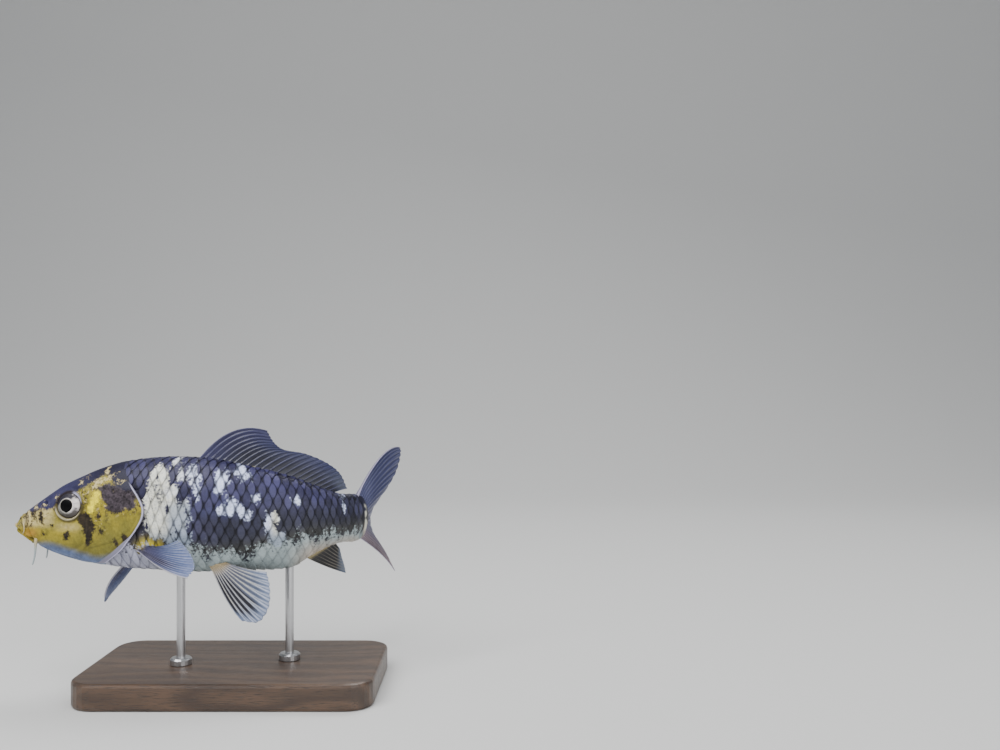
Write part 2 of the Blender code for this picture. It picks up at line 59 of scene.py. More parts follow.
# ---------------- the fish's form, as in the solids
STANDARD_LENGTH = 0.17
SNOUT = np.array((-0.1, -0.01, 0.0776))
HEAD_TURN, TAIL_TURN, FIN_TURN = 5.0, 56.0, 14.0
HEAD_EASE, TAIL_EASE, FIN_EASE = (0.1, 0.45), (0.45, 1.05), (1.0, 1.25)
COAT = 0.0005  # depth of the scales over the skin

# Share, top, bottom, half width, level of the widest point, squareness
STATIONS = thousandths(
    (0, 2, -6, 5, -2, 2000), (10, 19, -19, 20, 0, 2000), (30, 38, -35, 33, 2, 2100),
    (63, 64, -56, 43, 6, 2200), (105, 93, -76, 53, 12, 2300), (150, 119, -92, 63, 18, 2300),
    (210, 147, -106, 73, 22, 2300), (280, 170, -117, 81, 26, 2300), (360, 182, -124, 87, 27, 2200),
    (450, 185, -130, 87, 27, 2100), (540, 178, -130, 83, 25, 2100), (620, 160, -129, 77, 18, 2000),
    (700, 139, -131, 69, 8, 2000), (750, 122, -126, 61, 2, 2000), (790, 105, -104, 52, 1, 2000),
    (840, 84, -85, 43, -1, 2000), (900, 66, -76, 34, -4, 2000), (950, 60, -79, 27, -8, 2000),
    (985, 46, -66, 18, -9, 2000), (1000, 20, -40, 9, -10, 2000))
# Hind edge of the gill covers, as level and share
GILL_EDGE = thousandths(
    (-200, 225), (-102, 240), (-85, 266), (-60, 300), (-32, 325), (-2, 348), (27, 364), (50, 367),
    (83, 352), (108, 333), (150, 300), (240, 290))

EYE_SHARE, EYE_LEVEL, EYE_RADIUS, EYE_FLATNESS, EYE_SINK = 0.159, 0.057, 0.04, 0.66, 0.018
EYE_FORWARD, EYE_UP = 12.0, 6.0

# Each fin's number of rays, and its guide rays in thousandths: root, tip and bow, each as share,
# sideways and level
FINS = {
    "dorsal_fin": (23, (
        (487, 0, 174, 674, 0, 254, -4, 0, 38), (545, 0, 166, 692, 0, 222, 0, 0, 26),
        (600, 0, 153, 720, 0, 200, 0, 0, 18), (670, 0, 135, 780, 0, 187, 0, 0, 10),
        (740, 0, 114, 845, 0, 159, 0, 0, 6), (800, 0, 90, 893, 0, 124, 0, 0, 4),
        (860, 0, 68, 919, 0, 78, 0, 0, 2))),
    "anal_fin": (9, (
        (772, 0, -100, 915, 0, -167, 0, 0, -4), (805, 0, -88, 909, 0, -146, 0, 0, -3),
        (840, 0, -78, 900, 0, -120, 0, 0, -2), (872, 0, -70, 890, 0, -90, 0, 0, 0))),
    "caudal_fin": (21, (
        (955, 0, 50, 1172, 2, 183, 0, 0, 44), (970, 0, 40, 1178, 2, 166, 0, 0, 30),
        (980, 0, 22, 1158, 2, 122, 0, 0, 16), (986, 0, 6, 1116, 8, 70, 0, 0, 6),
        (988, 0, -10, 1064, 36, -10, 0, 0, 0), (986, 0, -26, 1085, 47, -76, 0, 0, 0),
        (980, 0, -42, 1148, 41, -146, 0, 0, 2), (970, 0, -56, 1184, 34, -196, 0, 0, 4),
        (955, 0, -64, 1190, 30, -209, 0, 0, 6))),
    "pectoral_fin_left": (16, (
        (338, -64, -58, 510, -185, -112, 0, 0, -12), (345, -66, -55, 520, -166, -94, 0, 0, -10),
        (352, -68, -51, 514, -150, -71, 0, 0, -8), (359, -70, -48, 492, -130, -43, 0, 0, -8),
        (365, -72, -45, 468, -115, -26, 0, 0, -10))),
    "pectoral_fin_right": (16, (
        (336, 56, -68, 212, 58, -214, -30, 14, -4), (340, 58, -61, 206, 80, -231, -24, 10, -2),
        (345, 60, -54, 204, 101, -235, -17, 6, 0), (350, 62, -47, 210, 120, -220, -9, 3, 0),
        (355, 64, -40, 232, 136, -190, 0, 0, 0))),
    "pelvic_fin_left": (11, (
        (530, -36, -104, 612, -85, -250, 0, 0, -14), (540, -41, -103, 650, -95, -252, 0, 0, -10),
        (550, -46, -102, 672, -95, -212, 0, 0, -7), (560, -50, -100, 674, -86, -162, 0, 0, -4),
        (570, -53, -97, 668, -72, -124, 0, 0, -3))),
    "pelvic_fin_right": (11, (
        (530, 36, -104, 578, 62, -236, 0, 0, -8), (540, 41, -103, 608, 74, -240, 0, 0, -6),
        (550, 46, -102, 632, 80, -205, 0, 0, -4), (560, 50, -100, 642, 78, -165, 0, 0, -3),
        (570, 53, -97, 644, 70, -128, 0, 0, -2))),
}

# Barbels: share, angle round the body in degrees, length, radius at the root
BARBELS = {"barbel_": (0.062, 128.0, 0.0115, 0.00045), "lip_barbel_": (0.03, 78.0, 0.005, 0.00035)}


# ---------------- numbers
HASH = (73856093, 19349663, 83492791)


def ease(value, start, end):
    t = np.clip((value - start) / (end - start), 0.0, 1.0)
    return t * t * (3.0 - 2.0 * t)


def fade(value, start, end):
    return 1.0 - ease(value, start, end)


def window(value, start, full, end, gone):
    """1 from full to end, and 0 up to the start and once gone, with smooth steps between them."""
    return ease(value, start, full) * fade(value, end, gone)


def bell(value, centre, width):
    return np.exp(-((value - centre) / width) ** 2)


def bells(value, rows):
    """Sum of bells given as height, centre and width."""
    return sum(height * bell(value, centre, width) for height, centre, width in rows)


def read_table(rows, place):
    """Rows (place, values...) read at an array of places by the cubic that the solids use."""
    table = np.asarray(rows, float)
    stops = table[:, 0]
    slopes = np.gradient(table[:, 1:], stops, axis=0)
    place = np.clip(np.atleast_1d(np.asarray(place, float)), stops[0], stops[-1])
    k = np.clip(np.searchsorted(stops, place) - 1, 0, len(stops) - 2)
    width = (stops[k + 1] - stops[k])[:, None]
    t = (place - stops[k])[:, None] / width
    start = (1 + 2 * t) * (1 - t) ** 2 * table[k, 1:] + t * (1 - t) ** 2 * width * slopes[k]
    end = t * t * (3 - 2 * t) * table[k + 1, 1:] + t * t * (t - 1) * width * slopes[k + 1]
    return start + end


def line(rows, place):
    """A table with one value, read at an array of any shape."""
    place = np.asarray(place, float)
    return read_table(rows, place.ravel())[:, 0].reshape(place.shape)


def places(*axes):
    """An (N, 3) array of places from three arrays or numbers that fill up each other's ways."""
    return np.stack(np.broadcast_arrays(*axes), axis=-1).reshape(-1, 3)


def unit(vectors):
    return vectors / np.maximum(np.linalg.norm(vectors, axis=-1, keepdims=True), 1e-12)


def noise(points, fineness, seed):
    """Smooth noise from -1 to 1 at an (N, 3) array of places."""
    place = points * fineness + 31.7 * seed
    cell = np.floor(place).astype(np.int64)
    t = ease(place - cell, 0.0, 1.0)
    total = np.zeros(len(place))
    for corner in itertools.product((0, 1), repeat=3):
        code = np.bitwise_xor.reduce((cell + corner) * HASH, axis=1) ^ seed * 2654435
        code = (code ^ (code >> 13)) * 1274126177
        code = (code ^ (code >> 16)) & 0xFFFFF
        total += np.prod(np.where(corner, t, 1.0 - t), axis=1) * (code / 0x7FFFF - 1.0)
    return total


def rough_noise(points, fineness, seed, octaves=3):
    total = sum(noise(points, fineness * 2.0 ** k, seed + 7 * k) * 0.5 ** k for k in range(octaves))
    return total / (2.0 - 0.5 ** (octaves - 1))


# ---------------- fish space and the pose
def heading(share):
    turn = HEAD_TURN * fade(share, *HEAD_EASE) + TAIL_TURN * ease(share, *TAIL_EASE)
    return np.radians(turn + FIN_TURN * ease(share, *FIN_EASE))


def spine_path():
    """Shares along the spine, and where it runs: along and aside, in metres from the snout."""
    shares = np.linspace(-0.1, 1.4, 3001)
    angles = heading(shares)
    middle = 0.5 * (angles[1:] + angles[:-1])
    step = np.diff(shares) * STANDARD_LENGTH
    paths = [np.concatenate(([0.0], np.cumsum(way(middle) * step))) for way in (np.cos, np.sin)]
    return shares, *(path - np.interp(0.0, shares, path) for path in paths)


SPINE_SHARES, SPINE_X, SPINE_Y = spine_path()


def pose(points):
    """(N, 3) places in fish space, in metres, to the world."""
    share = points[:, 0] / STANDARD_LENGTH
    angle = heading(share)
    x = np.interp(share, SPINE_SHARES, SPINE_X) - points[:, 1] * np.sin(angle)
    y = np.interp(share, SPINE_SHARES, SPINE_Y) + points[:, 1] * np.cos(angle)
    return SNOUT + np.column_stack((x, y, points[:, 2]))


def body_point(share, angle):
    """The plain body's surface in metres; the angle is 0 at the top and grows to the right side."""
    share, angle = np.broadcast_arrays(np.asarray(share, float), np.asarray(angle, float))
    top, bottom, half_width, widest, square = read_table(STATIONS, share.ravel()).T
    across, upright = (np.sign(way) * np.abs(way) ** (2.0 / square)
                       for way in (np.sin(angle.ravel()), np.cos(angle.ravel())))
    reach = np.where(upright > 0, top - widest, widest - bottom)
    place = np.column_stack((share.ravel(), half_width * across, widest + reach * upright))
    return (place * STANDARD_LENGTH).reshape(*share.shape, 3)


def body_normal(share, angle):
    """Outward unit normals of the plain body in fish space."""
    step = 0.0015
    along = body_point(share + step, angle) - body_point(np.maximum(share - step, 0.0), angle)
    around = body_point(share, angle + step) - body_point(share, angle - step)
    return unit(np.cross(along, around))


# ---------------- meshes
def linked(name, data):
    """A new object in the scene."""
    thing = bpy.data.objects.new(name, data)
    bpy.context.scene.collection.objects.link(thing)
    return thing


def made_mesh(name, points, faces):
    """A smooth object from world places and faces."""
    mesh = bpy.data.meshes.new(name)
    mesh.from_pydata(points.tolist(), [], faces)
    mesh.shade_smooth()
    return linked(name, mesh)


def fish_piece(name, points, faces, material, tint, **values):
    """A piece that keeps for each point its colour, other values, and its place in fish space."""
    piece = made_mesh(name, pose(points), faces)
    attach(piece, "root")
    if tint.shape[1] == 3:
        tint = np.column_stack((tint, np.ones(len(tint))))
    values = {"tint": tint, **values}
    values.setdefault("fish", points)
    for title, numbers in values.items():
        four = numbers.shape[1] == 4
        kind, field = ("FLOAT_COLOR", "color") if four else ("FLOAT_VECTOR", "vector")
        piece.data.attributes.new(title, kind, "POINT").data.foreach_set(field, numbers.ravel())
    piece.data.materials.append(MATERIALS[material])
    return piece


def keep_map(piece, vertex_spots, wraps=False):
    """Stores the bake's map from one place for each vertex; wraps closes the map's second way."""
    layer = piece.data.uv_layers.new(name="OFBake")
    corners = np.empty(len(piece.data.loops), dtype=np.int32)
    piece.data.loops.foreach_get("vertex_index", corners)
    spots = vertex_spots[corners]
    if wraps:
        starts = np.empty(len(piece.data.polygons), dtype=np.int32)
        piece.data.polygons.foreach_get("loop_start", starts)
        highest = np.repeat(np.maximum.reduceat(spots[:, 1], starts),
                            np.diff(np.append(starts, len(spots))))
        spots[highest - spots[:, 1] > 0.5, 1] += 1.0
    layer.data.foreach_set("uv", spots.ravel())


def grid_faces(rows, columns, closed=False):
    """Quads of a grid, which joins its last column to the first if closed."""
    r = np.arange(rows - 1)[:, None]
    c = np.arange(columns if closed else columns - 1)[None, :]
    after = (c + 1) % columns
    quads = np.stack((r * columns + c, (r + 1) * columns + c,
                      (r + 1) * columns + after, r * columns + after), axis=-1)
    return quads.reshape(-1, 4)


def tube_faces(rings, sides):
    """Faces of a closed tube whose two end points follow its rings."""
    around = np.arange(sides)
    after = np.roll(around, -1)
    last = (rings - 1) * sides
    start = np.column_stack((around, after, np.full(sides, rings * sides)))
    end = np.column_stack((after + last, around + last, np.full(sides, rings * sides + 1)))
    return grid_faces(rings, sides, closed=True).tolist() + start.tolist() + end.tolist()


def flipped(faces):
    return [face[::-1] for face in faces]


def plate_faces(rows, columns):
    """Quads of a closed plate: a grid, its underside behind it, and the rim between them."""
    upper = grid_faces(rows, columns)
    lower = upper[:, ::-1] + rows * columns
    along, down = np.arange(columns - 1), np.arange(rows - 1)
    border = np.concatenate((along, down * columns + columns - 1,
                             rows * columns - 1 - along, (rows - 1 - down) * columns))
    after = np.roll(border, -1)
    rim = np.column_stack((border, after, after + rows * columns, border + rows * columns))
    return np.concatenate((upper, lower, rim))


def plate_points(sheet, normal, half):
    """Places of a closed plate, half its thickness above and below a sheet."""
    away = normal * half[..., None]
    return np.concatenate(((sheet + away).reshape(-1, 3), (sheet - away).reshape(-1, 3)))


# ---------------- markings
SLATE = tone(26, 28, 66)
DUSK = tone(27, 26, 70)
PEPPER = tone(17, 18, 30)
NAPE = tone(12, 11, 30)
BRIGHT_WHITE = tone(640, 715, 980)
WARM_WHITE = tone(740, 730, 600)
BELLY = tone(290, 345, 355)
LOW_WHITE = tone(235, 280, 345)
YELLOW = tone(345, 275, 24)
ORANGE = tone(420, 210, 30)
OLIVE = tone(170, 155, 30)
CREAM = tone(560, 460, 215)
GOLD = tone(860, 720, 30)
BROWN = tone(22, 16, 10)
THROAT = tone(110, 158, 300)
OLIVE_GREY = tone(36, 37, 34)
PLUM = tone(48, 38, 46)
PINK_WHITE = tone(540, 460, 380)
LILAC = tone(470, 455, 620)

# Patches as share, level, half length and half height in thousandths, and lean in degrees
LEFT_WHITE = (
    (402, 100, 34, 56, -10), (425, 70, 40, 45, 0), (418, 15, 45, 48, 0), (392, -15, 30, 22, -20),
    (382, 14, 22, 28, 0), (455, 20, 32, 55, -15), (450, -25, 35, 30, 0), (487, 150, 17, 21, 0),
    (494, 125, 10, 14, 0), (504, 96, 7, 9, 0), (566, 130, 14, 26, -20), (598, 150, 12, 14, 0),
    (615, 134, 14, 12, -30), (572, 42, 15, 12, 0), (592, 60, 8, 15, 25), (611, 42, 7, 10, 0),
    (625, 32, 8, 10, 0), (688, 18, 13, 20, 0), (680, -10, 9, 22, 0), (696, -36, 17, 16, 0),
    (444, 172, 11, 8, 0), (458, 155, 8, 14, 0), (745, 66, 6, 7, 0), (640, 73, 6, 7, 0),
    (885, 47, 3, 12, -20))
RIGHT_WHITE = (
    (395, 60, 36, 52, 0), (430, 20, 36, 40, 10), (470, 120, 26, 26, 15), (520, 95, 14, 20, 0),
    (545, 30, 30, 24, -10), (600, 110, 24, 18, 20), (640, 0, 18, 30, 0), (705, 60, 22, 20, 0),
    (760, 20, 12, 16, 0), (410, 160, 18, 12, 0), (830, 10, 12, 10, 0))
DARK_IN_WHITE = (
    (408, 37, 7, 8, 0), (410, -8, 5, 5, 0), (374, 4, 6, 9, 0), (368, -22, 9, 14, -20), (432, 52, 6, 12, 0),
    (398, 140, 5, 8, 0))
BLOTCHES = (
    (203, 22, 20, 20, 0), (214, 0, 17, 22, 0), (213, -22, 11, 20, 0), (209, -40, 8, 9, 0),
    (150, -22, 10, 12, 0), (86, -19, 8, 5, -25), (78, 26, 7, 21, 8), (247, -11, 8, 10, 0),
    (316, -24, 9, 11, 30), (290, -40, 6, 10, 30), (240, 30, 6, 12, 0), (56, 34, 6, 20, 20),
    (112, 4, 6, 4, 0), (238, 100, 10, 10, 0), (54, 44, 10, 10, 30), (36, 30, 4, 12, 20),
    (72, 50, 12, 6, 25), (128, 90, 14, 5, 30))
DARK_COVER = (
    (300, 83, 50, 32, -8), (262, 98, 22, 20, 0), (332, 66, 18, 16, 0), (290, 58, 28, 18, 0))
CREAM_PATCHES = (
    (258, 130, 24, 7, 25), (238, 122, 17, 10, 20), (296, 122, 10, 6, 0), (254, 148, 6, 10, 0),
    (226, 112, 10, 8, 0), (186, 118, 6, 6, 0), (119, 80, 6, 6, 0), (84, 58, 8, 5, 20),
    (200, 130, 6, 3, 20), (62, 50, 6, 4, 20))
GOLD_PATCHES = (
    (234, 78, 10, 16, 0), (222, 54, 9, 12, -20), (225, 65, 9, 12, 0))

# Edges of the dark crown, of the throat and of the belly, as share and level
CROWN_EDGE = thousandths(
    (0, 46), (30, 38), (45, 41), (65, 46), (90, 47), (110, 52), (122, 62), (145, 80), (170, 94),
    (186, 104), (198, 110), (212, 119), (230, 129), (248, 140), (262, 133), (278, 120), (292, 109),
    (307, 104), (340, 96))
JAW_EDGE = thousandths(
    (0, -60), (60, -48), (103, -46), (170, -66), (238, -80), (297, -66), (335, -58), (380, -50))
BELLY_EDGE = thousandths(
    (360, -45), (460, -62), (510, -70), (600, -72), (675, -58), (750, -40), (830, -44), (950, -46),
    (1000, -40))
EDGE_UNIT = 0.012  # share over which a field of markings runs from 0 to 1
BELLY_UNIT = 0.02


def patches(blobs, share, level):
    """A smooth field: 1 in the middle of a patch, 0 on its outline, negative outside."""
    best = np.full(share.shape, -3.0)
    for *sizes, lean in blobs:
        u, z, half_length, half_height = thousandths(*sizes)
        c, s = math.cos(math.radians(lean)), math.sin(math.radians(lean))
        along = (share - u) * c + (level - z) * s
        upward = (level - z) * c - (share - u) * s
        far = np.sqrt((along / half_length) ** 2 + (upward / half_height) ** 2)
        best = np.maximum(best, (1.0 - far) * min(half_length, half_height) / EDGE_UNIT)
    return best


def painted(ground, *layers):
    """A ground colour with layers of (colour, amount) mixed into it in turn."""
    for colour, amount in layers:
        amount = np.clip(amount, 0.0, 1.0)[:, None]
        ground = ground * (1.0 - amount) + colour * amount
    return ground


def coats(count, *layers):
    """Colour and opacity of layers of (colour, amount) laid over each other on nothing."""
    colour, cover = np.zeros((count, 3)), np.zeros(count)
    for other, amount in layers:
        amount = np.clip(amount, 0.0, 1.0)
        rest = cover * (1.0 - amount)
        cover = amount + rest
        colour = (other * amount[:, None] + colour * rest[:, None]) / np.maximum(cover, 1e-9)[:, None]
    return np.column_stack((colour, cover))


def head_marks(place):
    """Ground colour of the bare head, darkened low on it as painted shade, its fields of markings, 0 on
    their outlines, and its mottling.
    """
    share, _, level = place.T
    wobble = rough_noise(place, 42.0, 1)
    fine = rough_noise(place, 150.0, 2)
    u, z = share + 0.004 * wobble, level + 0.004 * rough_noise(place, 42.0, 4)
    pale = np.maximum(fade(share, 0.09, 0.13) * ease(level, -0.008, 0.014) * ease(share, 0.012, 0.04),
                      0.7 * bell(share, 0.155, 0.035) * bell(level, 0.002, 0.012))
    ground = painted(
        YELLOW,
        (OLIVE, 0.45 + 0.6 * wobble + 0.3 * fine),
        (OLIVE, 0.7 * ease(share, 0.22, 0.27) * ease(-level, -0.05, 0.02)),
        # darker olive towards the underside of the head: painted shade
        (OLIVE * 0.9, 0.75 * ease(-z, 0.01, 0.06) * ease(share, 0.05, 0.1)),
        (YELLOW * 1.05, 0.8 * bell(share, 0.135, 0.035) * bell(level, -0.015, 0.02)),
        (CREAM, pale * (0.8 + 0.5 * fine)),
        (ORANGE, 0.7 * bell(share, 0.05, 0.02) * bell(level, -0.016, 0.014)))
    dark = np.maximum(np.minimum(patches(DARK_COVER, u, z), 0.55), patches(BLOTCHES, u, z))
    crown = (level - line(CROWN_EDGE, share) + 0.006 * wobble) / EDGE_UNIT
    throat = (line(JAW_EDGE, share) - level - 0.003 * wobble) / EDGE_UNIT
    mottle = np.maximum.reduce((
        ease(level, 0.015, 0.06) * (1 - 0.7 * bell(share, 0.225, 0.02) * bell(level, 0.06, 0.03)),
        bell(share, 0.242, 0.03) * bell(level, 0.03, 0.04),
        1.3 * bell(share, 0.225, 0.035) * bell(level, 0.11, 0.02),
        fade(share, 0.055, 0.08) * ease(level, -0.01, 0.006)))
    marks = np.column_stack((dark, patches(CREAM_PATCHES, u, z), patches(GOLD_PATCHES, u, z)))
    return ground, marks, np.column_stack((crown, throat, mottle))


def trunk_marks(place):
    """Ground colour of the trunk, its fields of white and of belly, and how warm the white is."""
    share, side, level = place.T
    wobble = rough_noise(place, 34.0, 11)
    u, z = share + 0.005 * wobble, level + 0.006 * rough_noise(place, 34.0, 14)
    pepper = ease(0.045 - level + 0.05 * wobble, -0.03, 0.05) * ease(share, 0.42, 0.6)
    below = (line(BELLY_EDGE, share) - level + 0.01 * wobble) / BELLY_UNIT
    ground = painted(
        SLATE,
        (SLATE * (1.25, 1.1, 0.95), 0.5 + 0.7 * wobble),
        (DUSK * 0.8, 0.5 * ease(share, 0.5, 0.68)),
        (NAPE, 0.8 * fade(share, 0.42, 0.52)),
        (PEPPER, 0.8 * np.maximum(pepper, 0.7 * ease(share, 0.78, 0.9))),
        (DUSK * 0.9, 0.9 * ease(level, 0.03, 0.14)),
        (GOLD * 0.7, 1.2 * bell(share, 0.38, 0.03) * bell(level, -0.054, 0.022)),
        (OLIVE_GREY, 0.8 * bell(below, -0.6, 1.1) * ease(share, 0.42, 0.5)))
    white = np.where(side < 0, patches(LEFT_WHITE, u, z), patches(RIGHT_WHITE, u, z))
    white = np.minimum(white, 1.0 - 1.6 * ease(patches(DARK_IN_WHITE, u, z), -0.4, 0.6))
    warm = ease(0.5 - share + 0.05 * wobble, 0.0, 0.08) * 0.9 + bell(share, 0.688, 0.012)
    return ground, np.column_stack((white, below, np.clip(warm, 0.0, 1.0)))


# ---------------- materials
def reckoned(operation, turned=False):
    """A method of Value that does one sum, with its two sides turned round if asked."""
    def method(value, *others):
        parts = (*others, value) if turned else (value, *others)
        return value.nodes.add("Math", {"operation": operation}, parts)[0]
    return method


class Value:
    """An output of a material's nodes, which can be reckoned with like a number."""

    def __init__(self, nodes, socket):
        self.nodes, self.socket = nodes, socket

    def smooth(self, low, high):
        """0 at low and 1 at high, with a smooth step between them."""
        fields = {"interpolation_type": "SMOOTHSTEP"}
        return self.nodes.add("MapRange", fields, (self, low, high, 0.0, 1.0))[0]

    __add__ = __radd__ = reckoned("ADD")
    __sub__, __rsub__ = reckoned("SUBTRACT"), reckoned("SUBTRACT", turned=True)
    __mul__, __truediv__ = reckoned("MULTIPLY"), reckoned("DIVIDE")
    root, size, sine = reckoned("SQRT"), reckoned("ABSOLUTE"), reckoned("SINE")
    angle_over = reckoned("ARCTAN2")


class Nodes:
    """A material's node tree, with short ways to add to it."""

    def __init__(self, name, kept_place="fish"):
        self.material = bpy.data.materials.new(name)
        self.material.use_nodes = True
        self.tree = self.material.node_tree
        self.tree.nodes.clear()
        self.place = self.kept(kept_place)[1] if kept_place else None

    def add(self, kind, fields=None, values=()):
        """Adds a node and sets its sockets, by order or by name; returns its outputs."""
        node = self.tree.nodes.new("ShaderNode" + kind)
        for field, value in (fields or {}).items():
            setattr(node, field, value)
        for key, value in values.items() if isinstance(values, dict) else enumerate(values):
            socket = node.inputs[key]
            if isinstance(value, Value):
                self.tree.links.new(value.socket, socket)
            elif socket.type == "RGBA":
                socket.default_value = (*value, 1.0)
            else:
                socket.default_value = value
        return [Value(self, socket) for socket in node.outputs]

    def kept(self, name):
        """Colour, vector, number and opacity of a value that the mesh keeps."""
        return self.add("Attribute", {"attribute_name": name})

    def axes(self, vector):
        return self.add("SeparateXYZ", values=(vector,))

    def object_place(self, *stretch):
        """Places on the object, squeezed along its axes."""
        spot = self.add("TexCoord")[3]
        return self.add("Mapping", values={"Vector": spot, "Scale": stretch})[0]

    def noise(self, scale, detail=3.0, roughness=0.55, place=None):
        values = {"Vector": place or self.place, "Scale": scale, "Detail": detail,
                  "Roughness": roughness}
        return self.add("TexNoise", values=values)[0]

    def grain(self, scale, amount, detail=3.0):
        """Noise from -amount to amount."""
        return (self.noise(scale, detail, 0.6) - 0.5) * (2.0 * amount)

    def mix(self, amount, first, second, blend="MIX"):
        fields = {"data_type": "RGBA", "blend_type": blend}
        return self.add("Mix", fields, {0: amount, 6: first, 7: second})[2]

    def painted(self, colour, *layers):
        """A colour with layers of (colour, amount) mixed into it in turn."""
        for other, amount in layers:
            colour = self.mix(amount, colour, other)
        return colour

    def shaded(self, colour, *parts):
        """A colour times 1 plus the parts."""
        grey = self.add("CombineColor", values=[sum(parts, 1.0)] * 3)[0]
        return self.mix(1.0, colour, grey, "MULTIPLY")

    def surface(self, colour, roughness, relief=None, depth=0.0, **more):
        """The main shader, with a relief of a depth in metres."""
        values = {"Base Color": colour, "Roughness": roughness}
        if relief:
            values["Normal"] = self.add("Bump", values={"Height": relief, "Distance": depth,
                                                        "Strength": 1.0})[0]
        values.update((name.replace("_", " "), value) for name, value in more.items())
        return self.add("BsdfPrincipled", values=values)[0]

    def finish(self, shader):
        self.add("OutputMaterial", values=(shader,))
        return self.material


def edge(field, softness, *wobbles):
    """1 inside a field of markings and 0 outside, with an edge that the wobbles make ragged."""
    return sum(wobbles, field).smooth(-softness, softness)


def skin_material():
    n = Nodes("koi_skin")
    ahead, _, up = n.axes(n.place)
    dark, cream, gold = n.axes(n.kept("marks")[1])
    crown, throat, mottle = n.axes(n.kept("shades")[1])
    over, _, _, cover = n.kept("over")
    coarse, middle = n.grain(330.0, 0.75), n.grain(1000.0, 0.75)
    grit = n.grain(3200.0, 0.5, 2.0)
    flecks = n.noise(620.0, 3.0, 0.65).smooth(0.52, 0.6)
    elsewhere = n.add("VectorMath", {"operation": "ADD"}, (n.place, (0.31, 0.17, 0.23)))[0]
    light = n.noise(560.0, 3.0, 0.65, elsewhere).smooth(0.57, 0.64)
    blotch = n.mix(up.smooth(0.0055, 0.0095), BROWN * 1.1, PLUM)
    dusk = n.mix(ahead.smooth(0.02, 0.044), DUSK * 1.15, NAPE)
    colour = n.painted(
        n.shaded(n.kept("tint")[0], n.grain(240.0, 0.4), n.grain(700.0, 0.45), grit * 0.4),
        (BROWN * 2.4, flecks * mottle),
        (CREAM, light * mottle * 0.75),
        (n.shaded(blotch, n.grain(380.0, 1.5), n.grain(1100.0, 1.3),
                  n.grain(3000.0, 0.5)), edge(dark, 0.3, coarse * 0.7, middle)),
        (n.shaded(THROAT, n.grain(240.0, 0.9), n.grain(1300.0, 0.3)),
         edge(throat, 1.1, grit)),
        (n.shaded(dusk, n.grain(420.0, 0.35), grit), edge(crown, 0.35, coarse, middle)),
        (n.shaded(CREAM, n.grain(800.0, 0.4)), edge(cream, 0.35, coarse, middle * 2.0 - 0.25)),
        (n.shaded(GOLD, n.grain(520.0, 0.6), n.grain(1400.0, 0.4)),
         edge(gold, 0.45, coarse, middle, grit)),
        # over: the cover from skin_cover, with painted shade in the folds, the gill slit, along the mouth
        # and round the eye, and a painted highlight on the eye's rim
        (over, cover))
    pores = n.noise(2600.0) + n.noise(700.0) * 1.4
    return n.finish(n.surface(colour, 0.45, pores, 0.0001, Specular_IOR_Level=0.18, Coat_Weight=0.06,
                              Coat_Roughness=0.2))


def scale_material():
    n = Nodes("koi_scales")
    ground = n.kept("tint")[0]
    ahead, _, up = n.axes(n.place)
    along, across, chance = n.axes(n.kept("lie")[1])
    white, belly, warm = n.axes(n.kept("marks")[1])
    coarse, middle = n.grain(260.0, 0.9), n.grain(900.0, 1.1)
    broad, grit = n.grain(110.0, 1.0, 2.0), n.grain(2400.0, 0.5)
    own = chance - 0.5

    # the light oval in the middle of the uncovered part; round it the ground is darker, partly the dark net
    # of pigment between koi scales and partly painted shade where the scale in front overlaps it
    lengthways, crossways = (along + 0.44) / 0.4, across / 0.78
    far = (lengthways * lengthways + crossways * crossways).root()
    oval = (far + middle * 0.16).smooth(1.12, 0.62)
    net_and_shade = n.shaded(n.mix(1.0, ground, (0.36, 0.35, 0.36), "MULTIPLY"), grit)
    lit = n.shaded(n.mix(1.0, ground, (1.7, 1.68, 1.62), "MULTIPLY"),
                   own * 0.8, middle * 0.45, broad * 0.5)

    # white scales, on which the oval shows less where the white is warm, and the belly's
    cells = 1.0 - warm * 0.72
    shadow = ahead.smooth(0.07, 0.076) * ahead.smooth(0.087, 0.082) * up.smooth(0.014, 0.009)
    veins = n.grain(420.0, 1.0, 4.0).size().smooth(0.06, 0.0)
    pale = n.painted(
        BRIGHT_WHITE,
        (WARM_WHITE, warm + middle * 0.3),
        (LOW_WHITE, up.smooth(0.0015, -0.007)),
        (LOW_WHITE * 1.1, shadow * 0.75),
        (LOW_WHITE * 0.55, veins * 0.45),
        (PEPPER * 2.0, n.noise(1300.0, 2.0, 0.5).smooth(0.66, 0.72) * 0.75))
    pale = n.shaded(pale, own * 0.3, middle * 0.4, coarse * 0.2, (oval - 0.6) * cells)
    lower = n.painted(BELLY, (PINK_WHITE * 0.95, belly.smooth(0.0, 2.5) * ahead.smooth(0.12, 0.138)),
                      (LILAC * 0.85, ahead.smooth(0.08, 0.06) * 0.7))
    lower = n.shaded(lower, own * 0.3, middle * 0.35, (oval - 0.7) * 0.22)
    covered = edge(white, 0.42, coarse, middle * 1.35, grit * 0.6, own * 1.5)
    thin = cells * (0.66 - oval * 0.41)
    colour = n.painted(net_and_shade, (lit, oval),
                       (lower, edge(belly, 0.6, coarse * 1.3, middle * 2.6, own * 1.4)),
                       (pale, covered * (1.0 - thin)))

    rings = (far * 42.0).sine()
    rays = (across.angle_over(along + 1.3) * 38.0).sine()
    relief = rings * 0.2 + rays * 0.24 + n.noise(1500.0, 4.0, 0.6)
    return n.finish(n.surface(colour, 0.4, relief, 0.00005, Specular_IOR_Level=0.24, Coat_Weight=0.08,
                              Coat_Roughness=0.2))


